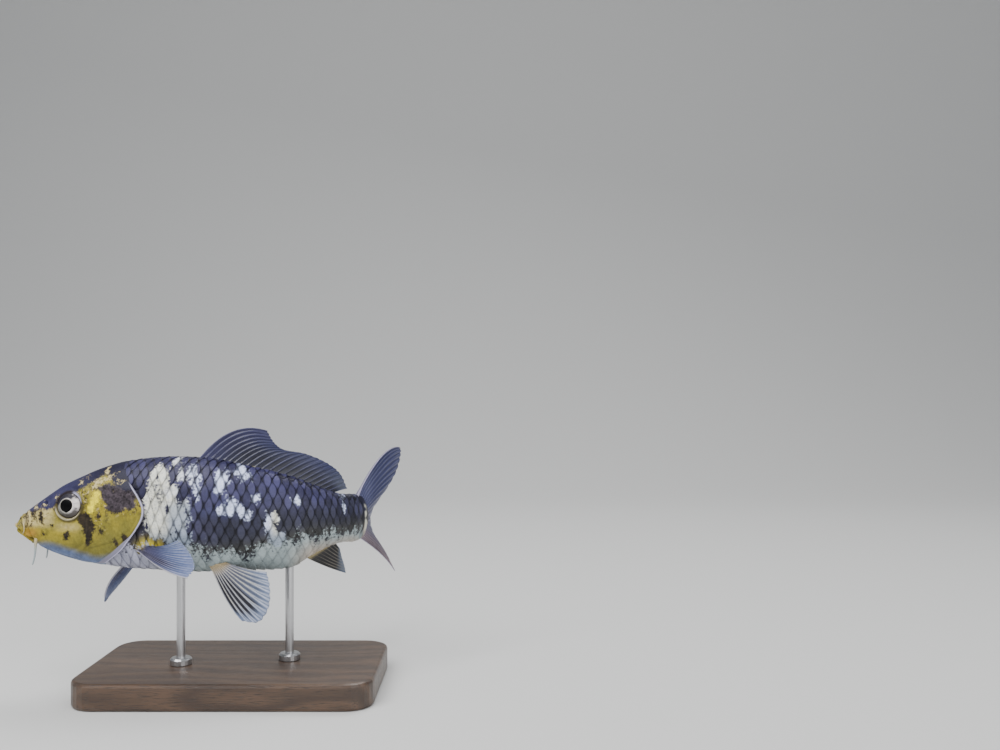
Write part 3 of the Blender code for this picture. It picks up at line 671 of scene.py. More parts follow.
def fin_material():
    n = Nodes("koi_fins")
    tint, _, _, clear = n.kept("tint")
    fine = n.noise(900.0, 4.0, 0.6)
    colour = n.shaded(tint, fine * 0.62 - 0.32)
    solid = n.surface(colour, 0.4, fine, 0.00006, Coat_Weight=0.3, Coat_Roughness=0.18)
    through = n.add("BsdfTranslucent", values={"Color": colour})[0]
    return n.finish(n.add("MixShader", values=(clear * 0.3, solid, through))[0])


def barbel_material():
    n = Nodes("koi_barbel")
    colour = n.shaded(n.kept("tint")[0], n.grain(1200.0, 0.3))
    return n.finish(n.surface(colour, 0.42, n.noise(1800.0), 0.00008, Coat_Weight=0.2,
                              Coat_Roughness=0.15))


def eye_material():
    n = Nodes("koi_eye")
    colour = n.shaded(n.kept("tint")[0], n.grain(1500.0, 0.35), n.grain(4200.0, 0.25))
    return n.finish(n.surface(colour, 0.5, Specular_IOR_Level=0.05, Coat_Weight=0.06, Coat_Roughness=0.04))


def wood_material():
    n = Nodes("oiled_wood", None)
    along_grain = n.object_place(0.22, 1.0, 1.0)
    _, across, up = n.axes(along_grain)
    warp = n.noise(45.0, 3.0, 0.5, along_grain)
    figure = (across * 620.0 + warp * 26.0 + up * 240.0).sine() * 0.5 + 0.5
    pores = n.noise(2400.0, 3.0, 0.6, n.object_place(0.06, 1.0, 1.0))
    colour = n.painted(tone(46, 26, 16), (tone(92, 52, 30), figure),
                       (tone(28, 16, 10), pores.smooth(0.48, 0.68)))
    return n.finish(n.surface(colour, 0.42, figure * 0.3 - pores.smooth(0.5, 0.7), 0.00008,
                              Coat_Weight=0.25, Coat_Roughness=0.25))


def steel_material():
    n = Nodes("brushed_steel", None)
    brushed = n.noise(5200.0, 3.0, 0.6, n.object_place(1.0, 1.0, 0.04))
    colour = n.mix(brushed, (0.42, 0.42, 0.43), (0.62, 0.62, 0.63))
    return n.finish(n.surface(colour, brushed * 0.22 + 0.2, brushed, 0.00002, Metallic=1.0))


MATERIALS = {"skin": skin_material(), "barbel": barbel_material(), "scales": scale_material(),
             "fins": fin_material(), "eye": eye_material(), "wood": wood_material(),
             "steel": steel_material()}


# ---------------- skin
SKIN_SIDES = 320
# Stretches of rings as start, end, count, and a power that crowds them towards the start
SKIN_RINGS = ((0.0, 0.02, 22, 2), (0.02, 0.33, 150, 1), (0.33, 0.346, 26, 1),
              (0.346, 0.42, 22, 1), (0.42, 0.93, 60, 1), (0.93, 1.0, 26, 1))
GILL_RING = 0.34                        # this ring is led along the hind edge of the gill covers
RINGS_LEAN, RINGS_UPRIGHT = 0.12, 0.62  # where rings start and stop to follow it
GILL_OPEN = (-0.104, 0.112)             # levels between which the gill slit is open
COVER_RISE, SLIT_DEPTH = 0.001, 0.0007  # in metres
# Line of the mouth, as share and level
MOUTH_LINE = thousandths(
    (-20, 2), (0, -4.5), (10, -8), (20, -12), (40, -26), (56, -38), (80, -52))
NOSTRIL = (0.085, 0.059)                # share and level
ORBIT = 0.0061                          # radius of the opening round the eye, in metres

# Height in metres, centre and width of what crosses the lips, of the folds behind them, and of
# the rim round the orbit
LIPS = ((0.00075, 0.0065, 0.0045), (0.0006, -0.0065, 0.0045), (-0.002, 0.0, 0.0024),
        (-0.00045, -0.015, 0.0028))
FOLDS = ((0.00034, 0.0205, 0.0018), (-0.00046, 0.0245, 0.002), (0.00036, 0.029, 0.0024))
ORBIT_RIM = ((0.00032, 0.0004, 0.00034), (-0.00018, 0.0016, 0.0008))
# Folds under the throat: depth in metres, distance from the middle, width, and shares as for window()
THROAT_FOLDS = ((0.0004, 0.024, 0.0035, (0.05, 0.08, 0.2, 0.25)),
                (0.0005, 0.0, 0.003, (0.1, 0.14, 0.22, 0.26)))
# Seams of the cheek and the gill cover: height in metres, width, and a path of share and level
SEAMS = (
    (-0.00034, 0.004, thousandths((207, 72), (199, 30), (202, -10), (190, -48), (150, -70))),
    (0.00024, 0.005, thousandths((216, 75), (209, 30), (212, -10), (200, -52), (160, -76))),
    (-0.0003, 0.003, thousandths((352, 30), (330, -4), (290, -34), (236, -52), (214, -58))),
    (-0.00026, 0.0045, thousandths((150, 2), (110, -12), (75, -30))),
)


def gill_table():
    """Share of the gill covers' hind edge for angles from the top to the bottom of the body."""
    angles = np.linspace(0.0, math.pi, 361)
    share = np.full(angles.shape, 0.33)
    for _ in range(40):
        level = body_point(share, angles)[:, 2] / STANDARD_LENGTH
        share = 0.5 * share + 0.5 * line(GILL_EDGE, level)
    return angles, share


GILL_ANGLES, GILL_SHARES = gill_table()


def gill_share(angle):
    around = np.abs((np.asarray(angle) + math.pi) % (2.0 * math.pi) - math.pi)
    return np.interp(around, GILL_ANGLES, GILL_SHARES)


def eye_frame(side):
    """Centre of an eyeball in metres, and its outward, forward and upward directions."""
    top, _, half_width, widest, square = read_table(STATIONS, EYE_SHARE)[0]
    height = (EYE_LEVEL - widest) / (top - widest)
    surface = half_width * (1.0 - abs(height) ** square) ** (1.0 / square)
    centre = np.array((EYE_SHARE, side * (surface - EYE_SINK), EYE_LEVEL)) * STANDARD_LENGTH
    turn, lift = math.radians(EYE_FORWARD), math.radians(EYE_UP)
    outward = np.array((-math.sin(turn) * math.cos(lift), side * math.cos(turn) * math.cos(lift),
                        math.sin(lift)))
    forward = unit(np.array((-1.0, 0.0, 0.0)) + outward[0] * outward)
    upward = np.cross(outward, forward) * side
    return centre, outward, forward, upward * math.copysign(1.0, upward[2])


def eye_distance(points):
    """Distance of the skin from the axis of its own eye, and its shares ahead and above."""
    best = np.zeros((3, len(points)))
    best[0] = 1.0
    for side in (-1.0, 1.0):
        centre, outward, forward, upward = eye_frame(side)
        reach = points - centre
        radial = reach - (reach @ outward)[:, None] * outward
        distance = np.maximum(np.linalg.norm(radial, axis=1), 1e-9)
        mine = (np.where(points[:, 1] < 0.0, -1.0, 1.0) == side) & (distance < best[0])
        best = np.where(mine, (distance, radial @ forward / distance, radial @ upward / distance), best)
    return best


def groove(share, level, path, width):
    """A bell across a smooth path of (share, level) points, seen from the side."""
    rows = np.column_stack((np.linspace(0.0, 1.0, len(path)), path))
    route = read_table(rows, np.linspace(0.0, 1.0, 40))
    best = np.full(share.shape, 1.0)
    for a, b in zip(route[:-1], route[1:]):
        run = b - a
        t = np.clip(((share - a[0]) * run[0] + (level - a[1]) * run[1]) / (run @ run), 0.0, 1.0)
        best = np.minimum(best, np.hypot(share - a[0] - t * run[0], level - a[1] - t * run[1]))
    return bell(best, 0.0, width)


def behind_snout(share, level):
    """Distance from the tip of the snout in the direction in which its folds follow each other."""
    return 0.937 * share + 0.35 * level


def mouth_relief(share, level):
    """Lips, slit and folds round the mouth, in metres."""
    mask = fade(share, 0.05, 0.064)
    across = (level - line(MOUTH_LINE, share)) * mask + (1.0 - mask)
    around = behind_snout(share, level)
    high = 1.0 - 0.55 * ease(level, 0.02, 0.05)
    first = 0.0006 * bell(around, 0.0165, 0.0022) * ease(share, 0.003, 0.012)
    corner = ease(across, -0.004, 0.004) * fade(level, 0.045, 0.06) * ease(0.07 - share, 0.0, 0.008)
    return (mask * bells(across, LIPS)
            + mask * ease(across, 0.0, 0.003) * high * (bells(around, FOLDS) - first)
            - 0.00075 * bell(around, 0.0385, 0.003) * high * corner
            + 0.0005 * bell(around, 0.046, 0.006) * fade(level, 0.02, 0.05)
            * ease(level, -0.045, -0.02))


def nostril_relief(share, level, side):
    """Two openings with a raised flap between them, on each side of the snout."""
    u, z = NOSTRIL
    ahead = (share - u) * 0.83 + (level - z) * 0.55
    over = (level - z) * 0.83 - (share - u) * 0.55
    hole = np.hypot((ahead - 0.0058) / 0.005, over / 0.0062)
    front = np.hypot((ahead + 0.006) / 0.0032, over / 0.0036)
    flap = np.hypot((ahead + 0.0008) / 0.0022, over / 0.007)
    rim = np.hypot(ahead / 0.0125, over / 0.0095)
    relief = 0.00075 * np.exp(-flap ** 2) - 0.0012 * np.exp(-hole ** 4) - 0.0009 * np.exp(-front ** 4)
    return (relief + 0.00022 * bell(rim, 1.0, 0.3)) * (np.abs(side) > 0.008)


def head_relief(place, points):
    """How far the bare skin of the head stands out from the plain body, in metres."""
    share, side, level = place.T
    relief = mouth_relief(share, level) + nostril_relief(share, level, side)
    far, _, above = eye_distance(points)
    relief += bells(far - ORBIT, ORBIT_RIM) - 0.0032 * fade(far, ORBIT - 0.0013, ORBIT + 0.0002)
    relief += 0.00035 * bell(far, ORBIT + 0.004, 0.0018) * ease(above, -0.2, 0.8)
    flank = ease(np.abs(side), 0.02, 0.04)
    relief += flank * sum(height * groove(share, level, path, width) for height, width, path in SEAMS)
    throat = ease(-level, 0.02, 0.05)
    for depth, aside, width, run in THROAT_FOLDS:
        relief -= depth * throat * bell(np.abs(side), aside, width) * window(share, *run)
    spokes = np.arctan2(level - 0.07, share - 0.228)
    cover = window(share, 0.235, 0.26, 0.33, 0.35) * ease(level, -0.02, 0.01)
    cover *= fade(level, 0.095, 0.115) * flank
    relief += 0.00006 * np.sin(46.0 * spokes + 2.0 * rough_noise(place, 30.0, 21, 2)) * cover
    return relief + 0.00012 * rough_noise(place, 26.0, 22, 2) * ease(share, 0.02, 0.1)


def skin_shares():
    stretches = [start + (end - start) * np.linspace(0.0, 1.0, count, endpoint=False) ** power
                 for start, end, count, power in SKIN_RINGS]
    return np.concatenate((*stretches, [1.0]))


def head_and_trunk(behind, level):
    """How far the gill slit is open, and how much a place belongs to the scaled trunk."""
    low, high = GILL_OPEN
    slit = window(level, low, low + 0.012, high - 0.014, high + 0.012)
    trunk = slit * ease(behind, 0.0, 0.0003) + (1.0 - slit) * ease(behind, -0.001, 0.004)
    return slit, trunk


def membrane_width(level):
    """Width in metres of the soft edge of the gill cover, which widens under the throat."""
    return 0.0006 + 0.0023 * ease(-level, 0.01, 0.06)


def skin_relief(place, points, behind):
    """How far the skin stands out from the plain body, in metres, with the gill covers open."""
    slit, trunk = head_and_trunk(behind, place[:, 2])
    cover = window(behind, -0.014, -0.001, 0.0, 0.0003)
    rise = COVER_RISE * cover - 0.0002 * bell(behind, -1.25 * membrane_width(place[:, 2]), 0.0003)
    rise -= SLIT_DEPTH * window(behind, 0.0, 0.0003, 0.0006, 0.0045)
    return head_relief(place, points) * (1.0 - trunk) + slit * rise - COAT * trunk


def under_scales(place):
    """Colour of the skin between the scales, darkened as painted shade beneath them, and of the bare root of
    the tail.
    """
    share, _, level = place.T
    ground, fields = trunk_marks(place)
    white, below, _ = fields.T
    cloud = noise(place, 55.0, 18)
    root = painted(ground * (1.1 + 0.5 * cloud)[:, None],
                   (PINK_WHITE * 0.8, ease(below + 1.2 * cloud, -0.8, 1.2)))
    band = window(share, 0.968, 0.976, 0.981, 0.99)
    band *= ease(0.042 - level, 0.0, 0.02) * ease(level + 0.07, 0.0, 0.02)
    # under the scales the ground is darkened to 0.55, and the belly colour to 0.75, as painted shade beneath
    # them
    return painted(ground * 0.55,
                   (BELLY * 0.75, np.maximum(ease(white, -0.3, 0.3), ease(below, -0.3, 0.8))),
                   (root, ease(share, 0.962, 0.974)),
                   (WARM_WHITE * 0.9, band * ease(noise(place, 75.0, 17) + 0.5 * cloud, -0.45, 0.15)))


def skin_cover(place, points, behind):
    """Colour and opacity of what hides the head's ground: painted shade in the folds, the trunk, the gill
    slit with painted shade, the orbits with painted shade and a painted highlight, and painted shade along
    the mouth.
    """
    share, _, level = place.T
    slit, trunk = head_and_trunk(behind, level)
    soft = membrane_width(level)
    pale_edge = slit * (1.0 - trunk)
    around = behind_snout(share, level)
    folds = np.maximum(bell(around, 0.0165, 0.0018) + bell(around, 0.0245, 0.0016),
                       0.9 * bell(around, 0.0385, 0.0036) * ease(0.05 - level, 0.0, 0.02))
    far, ahead, above = eye_distance(points)
    rim = bell(far, ORBIT + 0.0002, 0.0003)
    mouth = bell(level - line(MOUTH_LINE, share), 0.0, 0.0018) * fade(share, 0.05, 0.06)
    return coats(
        len(place),
        # painted shade in the grooves of the snout's folds
        (BROWN * 1.6, 0.8 * folds * ease(level, -0.006, 0.002) * ease(0.075 - share, 0.0, 0.02)),
        (under_scales(place), trunk),
        (LILAC * 0.5, pale_edge * ease(behind, -soft * 1.2, -soft * 0.9) * fade(behind, 0.0, 0.0004)),
        (LILAC * 1.2, pale_edge * bell(behind, -0.0002, 0.0003)),
        (BROWN * (1.0, 1.0, 1.8), 0.9 * bell(far, ORBIT + 0.0003, 0.0006)),
        (CREAM * (1.0, 1.08, 1.5), rim * ease(0.15 * ahead - above, 0.1, 0.6)),
        # painted highlight: a lilac crescent on the rim behind and above the eye
        (LILAC * 1.15, rim * ease(-ahead, 0.1, 0.55) * ease(above, 0.05, 0.4)),
        # painted shade in the sunken socket behind the eye
        (BROWN * 0.6, 0.9 * fade(far, ORBIT - 0.0006, ORBIT + 0.0001)),
        # painted shadow below and behind the eye, outside its rim
        (BROWN * 0.7, 0.85 * bell(far, ORBIT + 0.0012, 0.0006) * ease(-0.8 * above - 0.5 * ahead, 0.0, 0.7)),
        # painted shade in the gill slit, under the edge of the gill cover
        (BROWN * 0.4, slit * window(behind, 0.0001, 0.0004, 0.0006, 0.0022)),
        # painted shade along the slit of the mouth
        (BROWN * 0.5, mouth),
        (CREAM * (1.05, 1.05, 1.3), 0.8 * bell(around, 0.004, 0.0045) * ease(level, -0.006, -0.002)))


def skin():
    """One closed skin from the snout to the root of the tail fin."""
    rings = skin_shares()[:, None]
    angles = np.linspace(-math.pi, math.pi, SKIN_SIDES, endpoint=False)[None, :]
    hind = gill_share(angles)
    share = rings + (hind - GILL_RING) * window(rings, RINGS_LEAN, GILL_RING, GILL_RING, RINGS_UPRIGHT)
    behind = ((share - hind) * STANDARD_LENGTH).ravel()
    points = body_point(share, angles).reshape(-1, 3)
    normals = body_normal(share, angles).reshape(-1, 3)
    place = points / STANDARD_LENGTH
    shaped = points + normals * skin_relief(place, points, behind)[:, None]
    poles = np.array((shaped[:SKIN_SIDES].mean(axis=0), shaped[-SKIN_SIDES:].mean(axis=0)))
    poles[0, 0] -= 0.0002

    def whole(values):
        """Values of the rings, with those of the two poles after them."""
        return np.concatenate((values, values[:1], values[-1:]))

    ground, marks, shades = head_marks(place)
    piece = fish_piece("skin", np.concatenate((shaped, poles)), tube_faces(len(rings), SKIN_SIDES), "skin",
                       whole(ground), marks=whole(marks), shades=whole(shades),
                       over=whole(skin_cover(place, points, behind)), fish=np.concatenate((points, poles)))
    spots = places(np.linspace(0.0, 1.0, len(rings))[:, None], np.arange(SKIN_SIDES) / SKIN_SIDES, 0.0)
    spots = np.concatenate((spots[:, :2], [(0.0, 0.5), (1.0, 0.5)]))
    keep_map(piece, spots * 0.998 + 0.001, wraps=True)
    return piece


# ---------------- scales
ROWS_ABOVE, ROWS_BELOW = 6, 7                    # rows between the lateral line and the two midlines
PARALLEL_FROM = 0.5                              # behind this share rows keep their width and run out
# By share: level of the lateral line, narrowing of the rows, and step from scale to scale
LATERAL_LINE = thousandths((260, 106), (340, 82), (450, 46), (600, 16), (800, -3), (1000, -10))
ROW_TAPER = ((0.5, 1.0), (0.75, 0.94), (1.0, 0.8))
PITCH = ((0.24, 0.024), (0.45, 0.025), (0.7, 0.0238), (1.0, 0.0195))
FIRST_COLUMN, LAST_TIP = 0.262, 0.968            # shares of the first and the last tips
SCALE_STEPS, SCALE_SPANS = 9, 13                 # points along and across a scale
SCALE_LENGTH = 1.5                               # from root to tip, in pitches
SCALE_REACH = 1.1                                # half height, in row widths
SCALE_BEND = 0.5                                 # how far the hind edge falls back, in pitches
SCALE_ROUND = 1.7                                # 1 is a pointed scale, 2 a round one
SCALE_CROWDING = 1.15                            # above 1, its points crowd towards the hind edge
SCALE_JITTER = 0.02                              # spread of height and place, in scales
ROOM_BEHIND_GILLS, ROOM_AT_MIDLINE = 0.01, 0.42  # in shares, and in row widths
ROOT_LIFT, TIP_LIFT = -0.00015, 0.00044
SCALE_DOME, LATERAL_RIDGE, MIDLINE_LIFT = 0.00008, 0.00012, 0.00012
SCALE_THICKNESS, RIM_THICKNESS = 0.00013, 0.00004
FORE_ENDS = 0.6                                  # share where the fore pieces of the coat end
PATCH = 0.003                                    # a scale's size on the bake's map


def arc_tables():
    """Shares, half the girth there, angles at even fractions of it, and lengths to the lateral line."""
    shares = np.linspace(0.0, 1.0, 201)
    angles = np.linspace(0.0, math.pi, 361)
    points = body_point(shares[:, None], angles[None, :])
    pieces = np.linalg.norm(np.diff(points, axis=1), axis=2)
    arc = np.concatenate((np.zeros((len(shares), 1)), np.cumsum(pieces, axis=1)), axis=1)
    half = arc[:, -1]
    even = np.linspace(0.0, 1.0, 241)
    inverse = np.array([np.interp(even, row / max(total, 1e-9), angles)
                        for row, total in zip(arc, half)])
    level = line(LATERAL_LINE, shares) * STANDARD_LENGTH
    lateral = np.array([np.interp(-z, -row[:, 2], lengths)
                        for z, row, lengths in zip(level, points, arc)])
    return shares, half, inverse, lateral


ARC_SHARES, HALF_GIRTH, ARC_ANGLES, LATERAL_ARC = arc_tables()


def girth(share):
    return np.interp(share, ARC_SHARES, HALF_GIRTH)


def angle_at(share, fraction):
    """Angle at a fraction of half the girth, which may run on over either midline."""
    folded = np.abs(fraction)
    over = folded > 1.0
    folded = np.where(over, 2.0 - folded, folded)
    row = np.clip(share, 0.0, 1.0) * (len(ARC_SHARES) - 1)
    column = np.clip(folded, 0.0, 1.0) * (ARC_ANGLES.shape[1] - 1)
    r = np.minimum(row.astype(int), len(ARC_SHARES) - 2)
    c = np.minimum(column.astype(int), ARC_ANGLES.shape[1] - 2)
    p, q = row - r, column - c
    angle = (ARC_ANGLES[r, c] * (1 - p) * (1 - q) + ARC_ANGLES[r + 1, c] * p * (1 - q)
             + ARC_ANGLES[r, c + 1] * (1 - p) * q + ARC_ANGLES[r + 1, c + 1] * p * q)
    return np.where(over, 2.0 * math.pi - angle, angle) * np.where(fraction < 0, -1.0, 1.0)


def row_width(row, share):
    """Distance between rows in metres; rows count from 0 at the lateral line, upwards negative."""
    front = np.minimum(share, PARALLEL_FROM)
    lateral = np.interp(front, ARC_SHARES, LATERAL_ARC)
    width = np.where(row < 0, lateral / ROWS_ABOVE, (girth(front) - lateral) / ROWS_BELOW)
    return width * line(ROW_TAPER, share)


def row_arc(row, share):
    """Distance of a row from the top of the back, round the body."""
    if row == -ROWS_ABOVE:
        return np.zeros(np.shape(share))
    if row == ROWS_BELOW:
        return girth(share)
    return np.interp(share, ARC_SHARES, LATERAL_ARC) + row * row_width(np.array(row), share)


def column_shares():
    columns = [FIRST_COLUMN]
    while columns[-1] < LAST_TIP + 0.05:
        columns.append(columns[-1] + float(line(PITCH, columns[-1])))
    return np.array(columns)


def scale_places():
    """Row, side and tip share of every scale."""
    columns = column_shares()
    numbers = np.arange(len(columns))
    rows = range(-ROWS_ABOVE, ROWS_BELOW + 1)
    for side, row, column in itertools.product((-1, 1), rows, numbers[:-1]):
        midline = row in (-ROWS_ABOVE, ROWS_BELOW)
        if midline and side < 0:
            continue
        tip = float(np.interp(column + 0.5 * (row % 2), numbers, columns))
        arc = float(row_arc(row, tip))
        angle = float(angle_at(np.array(tip), np.array(arc / girth(tip))))
        if tip - gill_share(angle) < ROOM_BEHIND_GILLS or tip > LAST_TIP:
            continue
        room = ROOM_AT_MIDLINE * row_width(np.array(row), tip)
        if midline or min(arc, girth(tip) - arc) >= room:
            yield row, side, tip


def one_scale(row, side, tip, chance):
    """One scale's places, how its points lie on it, and its spots on the bake's map."""
    jitter = chance.normal(size=5)
    pitch = float(line(PITCH, tip))
    midline = row in (-ROWS_ABOVE, ROWS_BELOW)
    even, spans = np.linspace(0.0, 1.0, SCALE_STEPS)[:, None], np.linspace(-1.0, 1.0, SCALE_SPANS)
    v = spans * SCALE_REACH * (1.0 + SCALE_JITTER * jitter[0])
    bend = SCALE_BEND * np.abs(v) ** SCALE_ROUND
    x = -SCALE_LENGTH + (SCALE_LENGTH - bend) * (1.0 - (1.0 - even) ** SCALE_CROWDING)
    v = np.broadcast_to(v, x.shape)
    share = tip + (x + SCALE_JITTER * jitter[1]) * pitch
    width = row_width(np.where(v < 0, -1, 1) if row == 0 else np.array(row), share)
    arc = row_arc(row, share) + v * width
    if not midline:
        arc = np.clip(arc, 0.02 * width, girth(share) - 0.02 * width)
    angle = angle_at(share, arc / girth(share)) * side

    rise = (x + SCALE_LENGTH) / SCALE_LENGTH
    stand = (TIP_LIFT - ROOT_LIFT) * (1.0 - 0.38 * ease(tip, 0.74, 0.92)) * (1.0 + 0.1 * jitter[2])
    lift = ROOT_LIFT - COAT + rise * (stand + SCALE_DOME * (1.0 - v ** 2))
    if midline and tip > PARALLEL_FROM:
        lift = lift + MIDLINE_LIFT
    if row == 0:
        lift = lift + LATERAL_RIDGE * bell(v, 0.0, 0.07) * window(x, -1.2, -0.9, -0.35, -0.2)
    thin = fade(np.minimum(1.0 - np.abs(spans), 1.0 - even), 0.0, 0.15)
    half = 0.5 * (SCALE_THICKNESS - (SCALE_THICKNESS - RIM_THICKNESS) * thin)
    normal = body_normal(share, angle)
    points = plate_points(body_point(share, angle) + normal * lift[..., None], normal, half)

    lie = places(x, v, chance.random())
    root = tip - SCALE_LENGTH * pitch
    spot = np.array((0.02 + 0.96 * root, 0.5 + side * 0.48 * float(row_arc(row, root) / girth(root))))
    patch = spot + np.stack((x / SCALE_LENGTH + 0.5, v * 0.5), axis=-1).reshape(-1, 2) * PATCH
    return points, np.tile(lie, (2, 1)), np.concatenate((patch, patch + (0.0, 1.15 * PATCH)))


def scales():
    """Closed thin scales in four pieces, each bent to the body with its hind edge standing off."""
    chance = np.random.default_rng(20)
    groups = {}
    for row, side, tip in scale_places():
        name = f"scales_{'left' if side < 0 else 'right'}_{'fore' if tip < FORE_ENDS else 'aft'}"
        groups.setdefault(name, []).append(one_scale(row, side, tip, chance))
    plate = plate_faces(SCALE_STEPS, SCALE_SPANS)
    for name, group in groups.items():
        points, lie, spots = (np.concatenate(part) for part in zip(*group))
        starts = np.arange(len(group))[:, None, None] * (2 * SCALE_STEPS * SCALE_SPANS)
        faces = (plate[:, ::-1] if "left" in name else plate) + starts
        ground, marks = trunk_marks(points / STANDARD_LENGTH)
        piece = fish_piece(name, points, faces.reshape(-1, 4).tolist(), "scales", ground,
                           marks=marks, lie=lie)
        keep_map(piece, spots)


# ---------------- fins
COLUMNS_PER_RAY = 12
FIN_STEPS = 52
WEB_HALF, ROOT_HALF = 0.0001, 0.0007  # half thickness of the web, and added at the root
RAY_HALF = (0.00034, 0.0001)          # height of a ray over the web, at root and tip
FIRST_FORK, SECOND_FORK = 0.38, 0.7   # shares of a ray's length
RIPPLE, PLEAT = 0.00045, 0.0001       # how far the web waves, and dips between its rays
NOTCH, RAGGED = 0.016, 0.01           # how far its edge is cut between rays, and by chance
JOINTS = 34.0                         # along each ray


def ray_ridges(phase, t, first):
    """Height from 0 to 1 of the forking rays; phase is the distance from a ray, in rays."""
    apart = 0.245 * ease(t, FIRST_FORK, 1.1) * (1.0 - first)
    closer = 0.115 * ease(t, SECOND_FORK, 1.15) * (1.0 - first)
    slim = 0.15 - 0.085 * t
    return np.maximum.reduce([bell(phase, branch * apart + twig * closer, slim)
                              for branch in (-1, 1) for twig in (-1, 1)])


# Colours of the fins: t runs from root to tip, and across from the first ray to the last
def dorsal_colour(t, across, ridge, fibre):
    return painted(
        tone(9, 10, 26),
        (tone(22, 27, 95), ease(t, 0.25, 0.95)),
        (tone(28, 27, 96), 0.8 * fade(across, 0.0, 0.3)),
        (tone(110, 125, 165), 0.75 * ease(across, 0.7, 1.0) * ease(t, 0.3, 0.8)),
        (tone(92, 98, 200), ridge ** 2 * (0.22 + 0.62 * bell(t, 0.42, 0.26)) * (0.8 + 0.5 * fibre)),
        (tone(240, 240, 400), bell(across, 0.0, 0.008)),
        (GOLD * 0.6, 0.8 * fade(t, 0.05, 0.12) * ease(fibre, 0.15, 0.5) * ease(across, 0.3, 0.5)))


def caudal_colour(t, across, ridge, fibre):
    lower = ease(across, 0.55, 0.9)
    rays = painted(tone(95, 98, 215), (tone(330, 240, 230), lower))
    rim = np.maximum(bell(across, 0.0, 0.012), bell(across, 1.0, 0.012))
    return painted(
        tone(46, 52, 135),
        (tone(150, 110, 150), lower),
        (rays, ridge * (0.55 + 0.4 * fibre)),
        (tone(400, 370, 520), 0.85 * rim),
        (WARM_WHITE * 0.8, 0.7 * fade(t, 0.0, 0.09) * ease(across, 0.2, 0.6)))


def anal_colour(t, across, ridge, fibre):
    return painted(
        tone(14, 13, 14),
        (tone(110, 150, 230), ease(t, 0.7, 0.98)),
        (tone(300, 270, 220), ridge ** 1.5 * (0.22 + 0.36 * t + 0.2 * fibre)),
        (CREAM * 0.8, 0.9 * fade(t, 0.06, 0.2)))


def pectoral_colour(t, across, ridge, fibre):
    rays = painted(tone(260, 250, 380), (tone(420, 450, 640), ease(t, 0.3, 0.9)),
                   (tone(420, 460, 560), 0.7 * ease(across, 0.55, 0.9)))
    return painted(
        tone(40, 38, 115),
        (tone(100, 150, 330), ease(t, 0.1, 0.9)),
        (tone(22, 18, 50), bell(across, 0.2, 0.16) * fade(t, 0.4, 1.0)),
        (rays, ridge * (0.65 + 0.5 * fibre)),
        # painted highlight: a bright line along the first ray, the fin's lower edge
        (tone(640, 620, 700), 0.9 * bell(across, 0.0, 0.025)),
        (YELLOW, 0.7 * fade(t, 0.03, 0.12) * ease(across, 0.15, 0.4)))


def pelvic_colour(t, across, ridge, fibre):
    between = np.abs(across * (FINS["pelvic_fin_left"][0] - 1) % 1.0 - 0.5)
    wide = 0.11 + 0.18 * bell(t, 0.55, 0.35)
    faint = fade(between, 0.12, 0.3) * window(across, 0.42, 0.5, 0.8, 1.0)
    streaks = np.maximum(fade(between, wide, wide + 0.08) * fade(across, 0.42, 0.5), 0.45 * faint)
    rays = painted(tone(560, 540, 470), (tone(430, 470, 600), ease(t, 0.5, 1.0)))
    return painted(
        tone(180, 190, 250),
        (tone(190, 240, 370), ease(t, 0.2, 0.9)),
        (rays, ridge * (0.8 + 0.5 * fibre)),
        (tone(14, 12, 18), 0.97 * streaks * ease(t, 0.1, 0.2) * fade(t + 0.06 * fibre, 0.74, 0.98)),
        (tone(400, 290, 110), 0.75 * fade(t, 0.02, 0.2)))


FIN_COLOURS = {"dorsal": dorsal_colour, "anal": anal_colour, "caudal": caudal_colour,
               "pectoral": pectoral_colour, "pelvic": pelvic_colour}


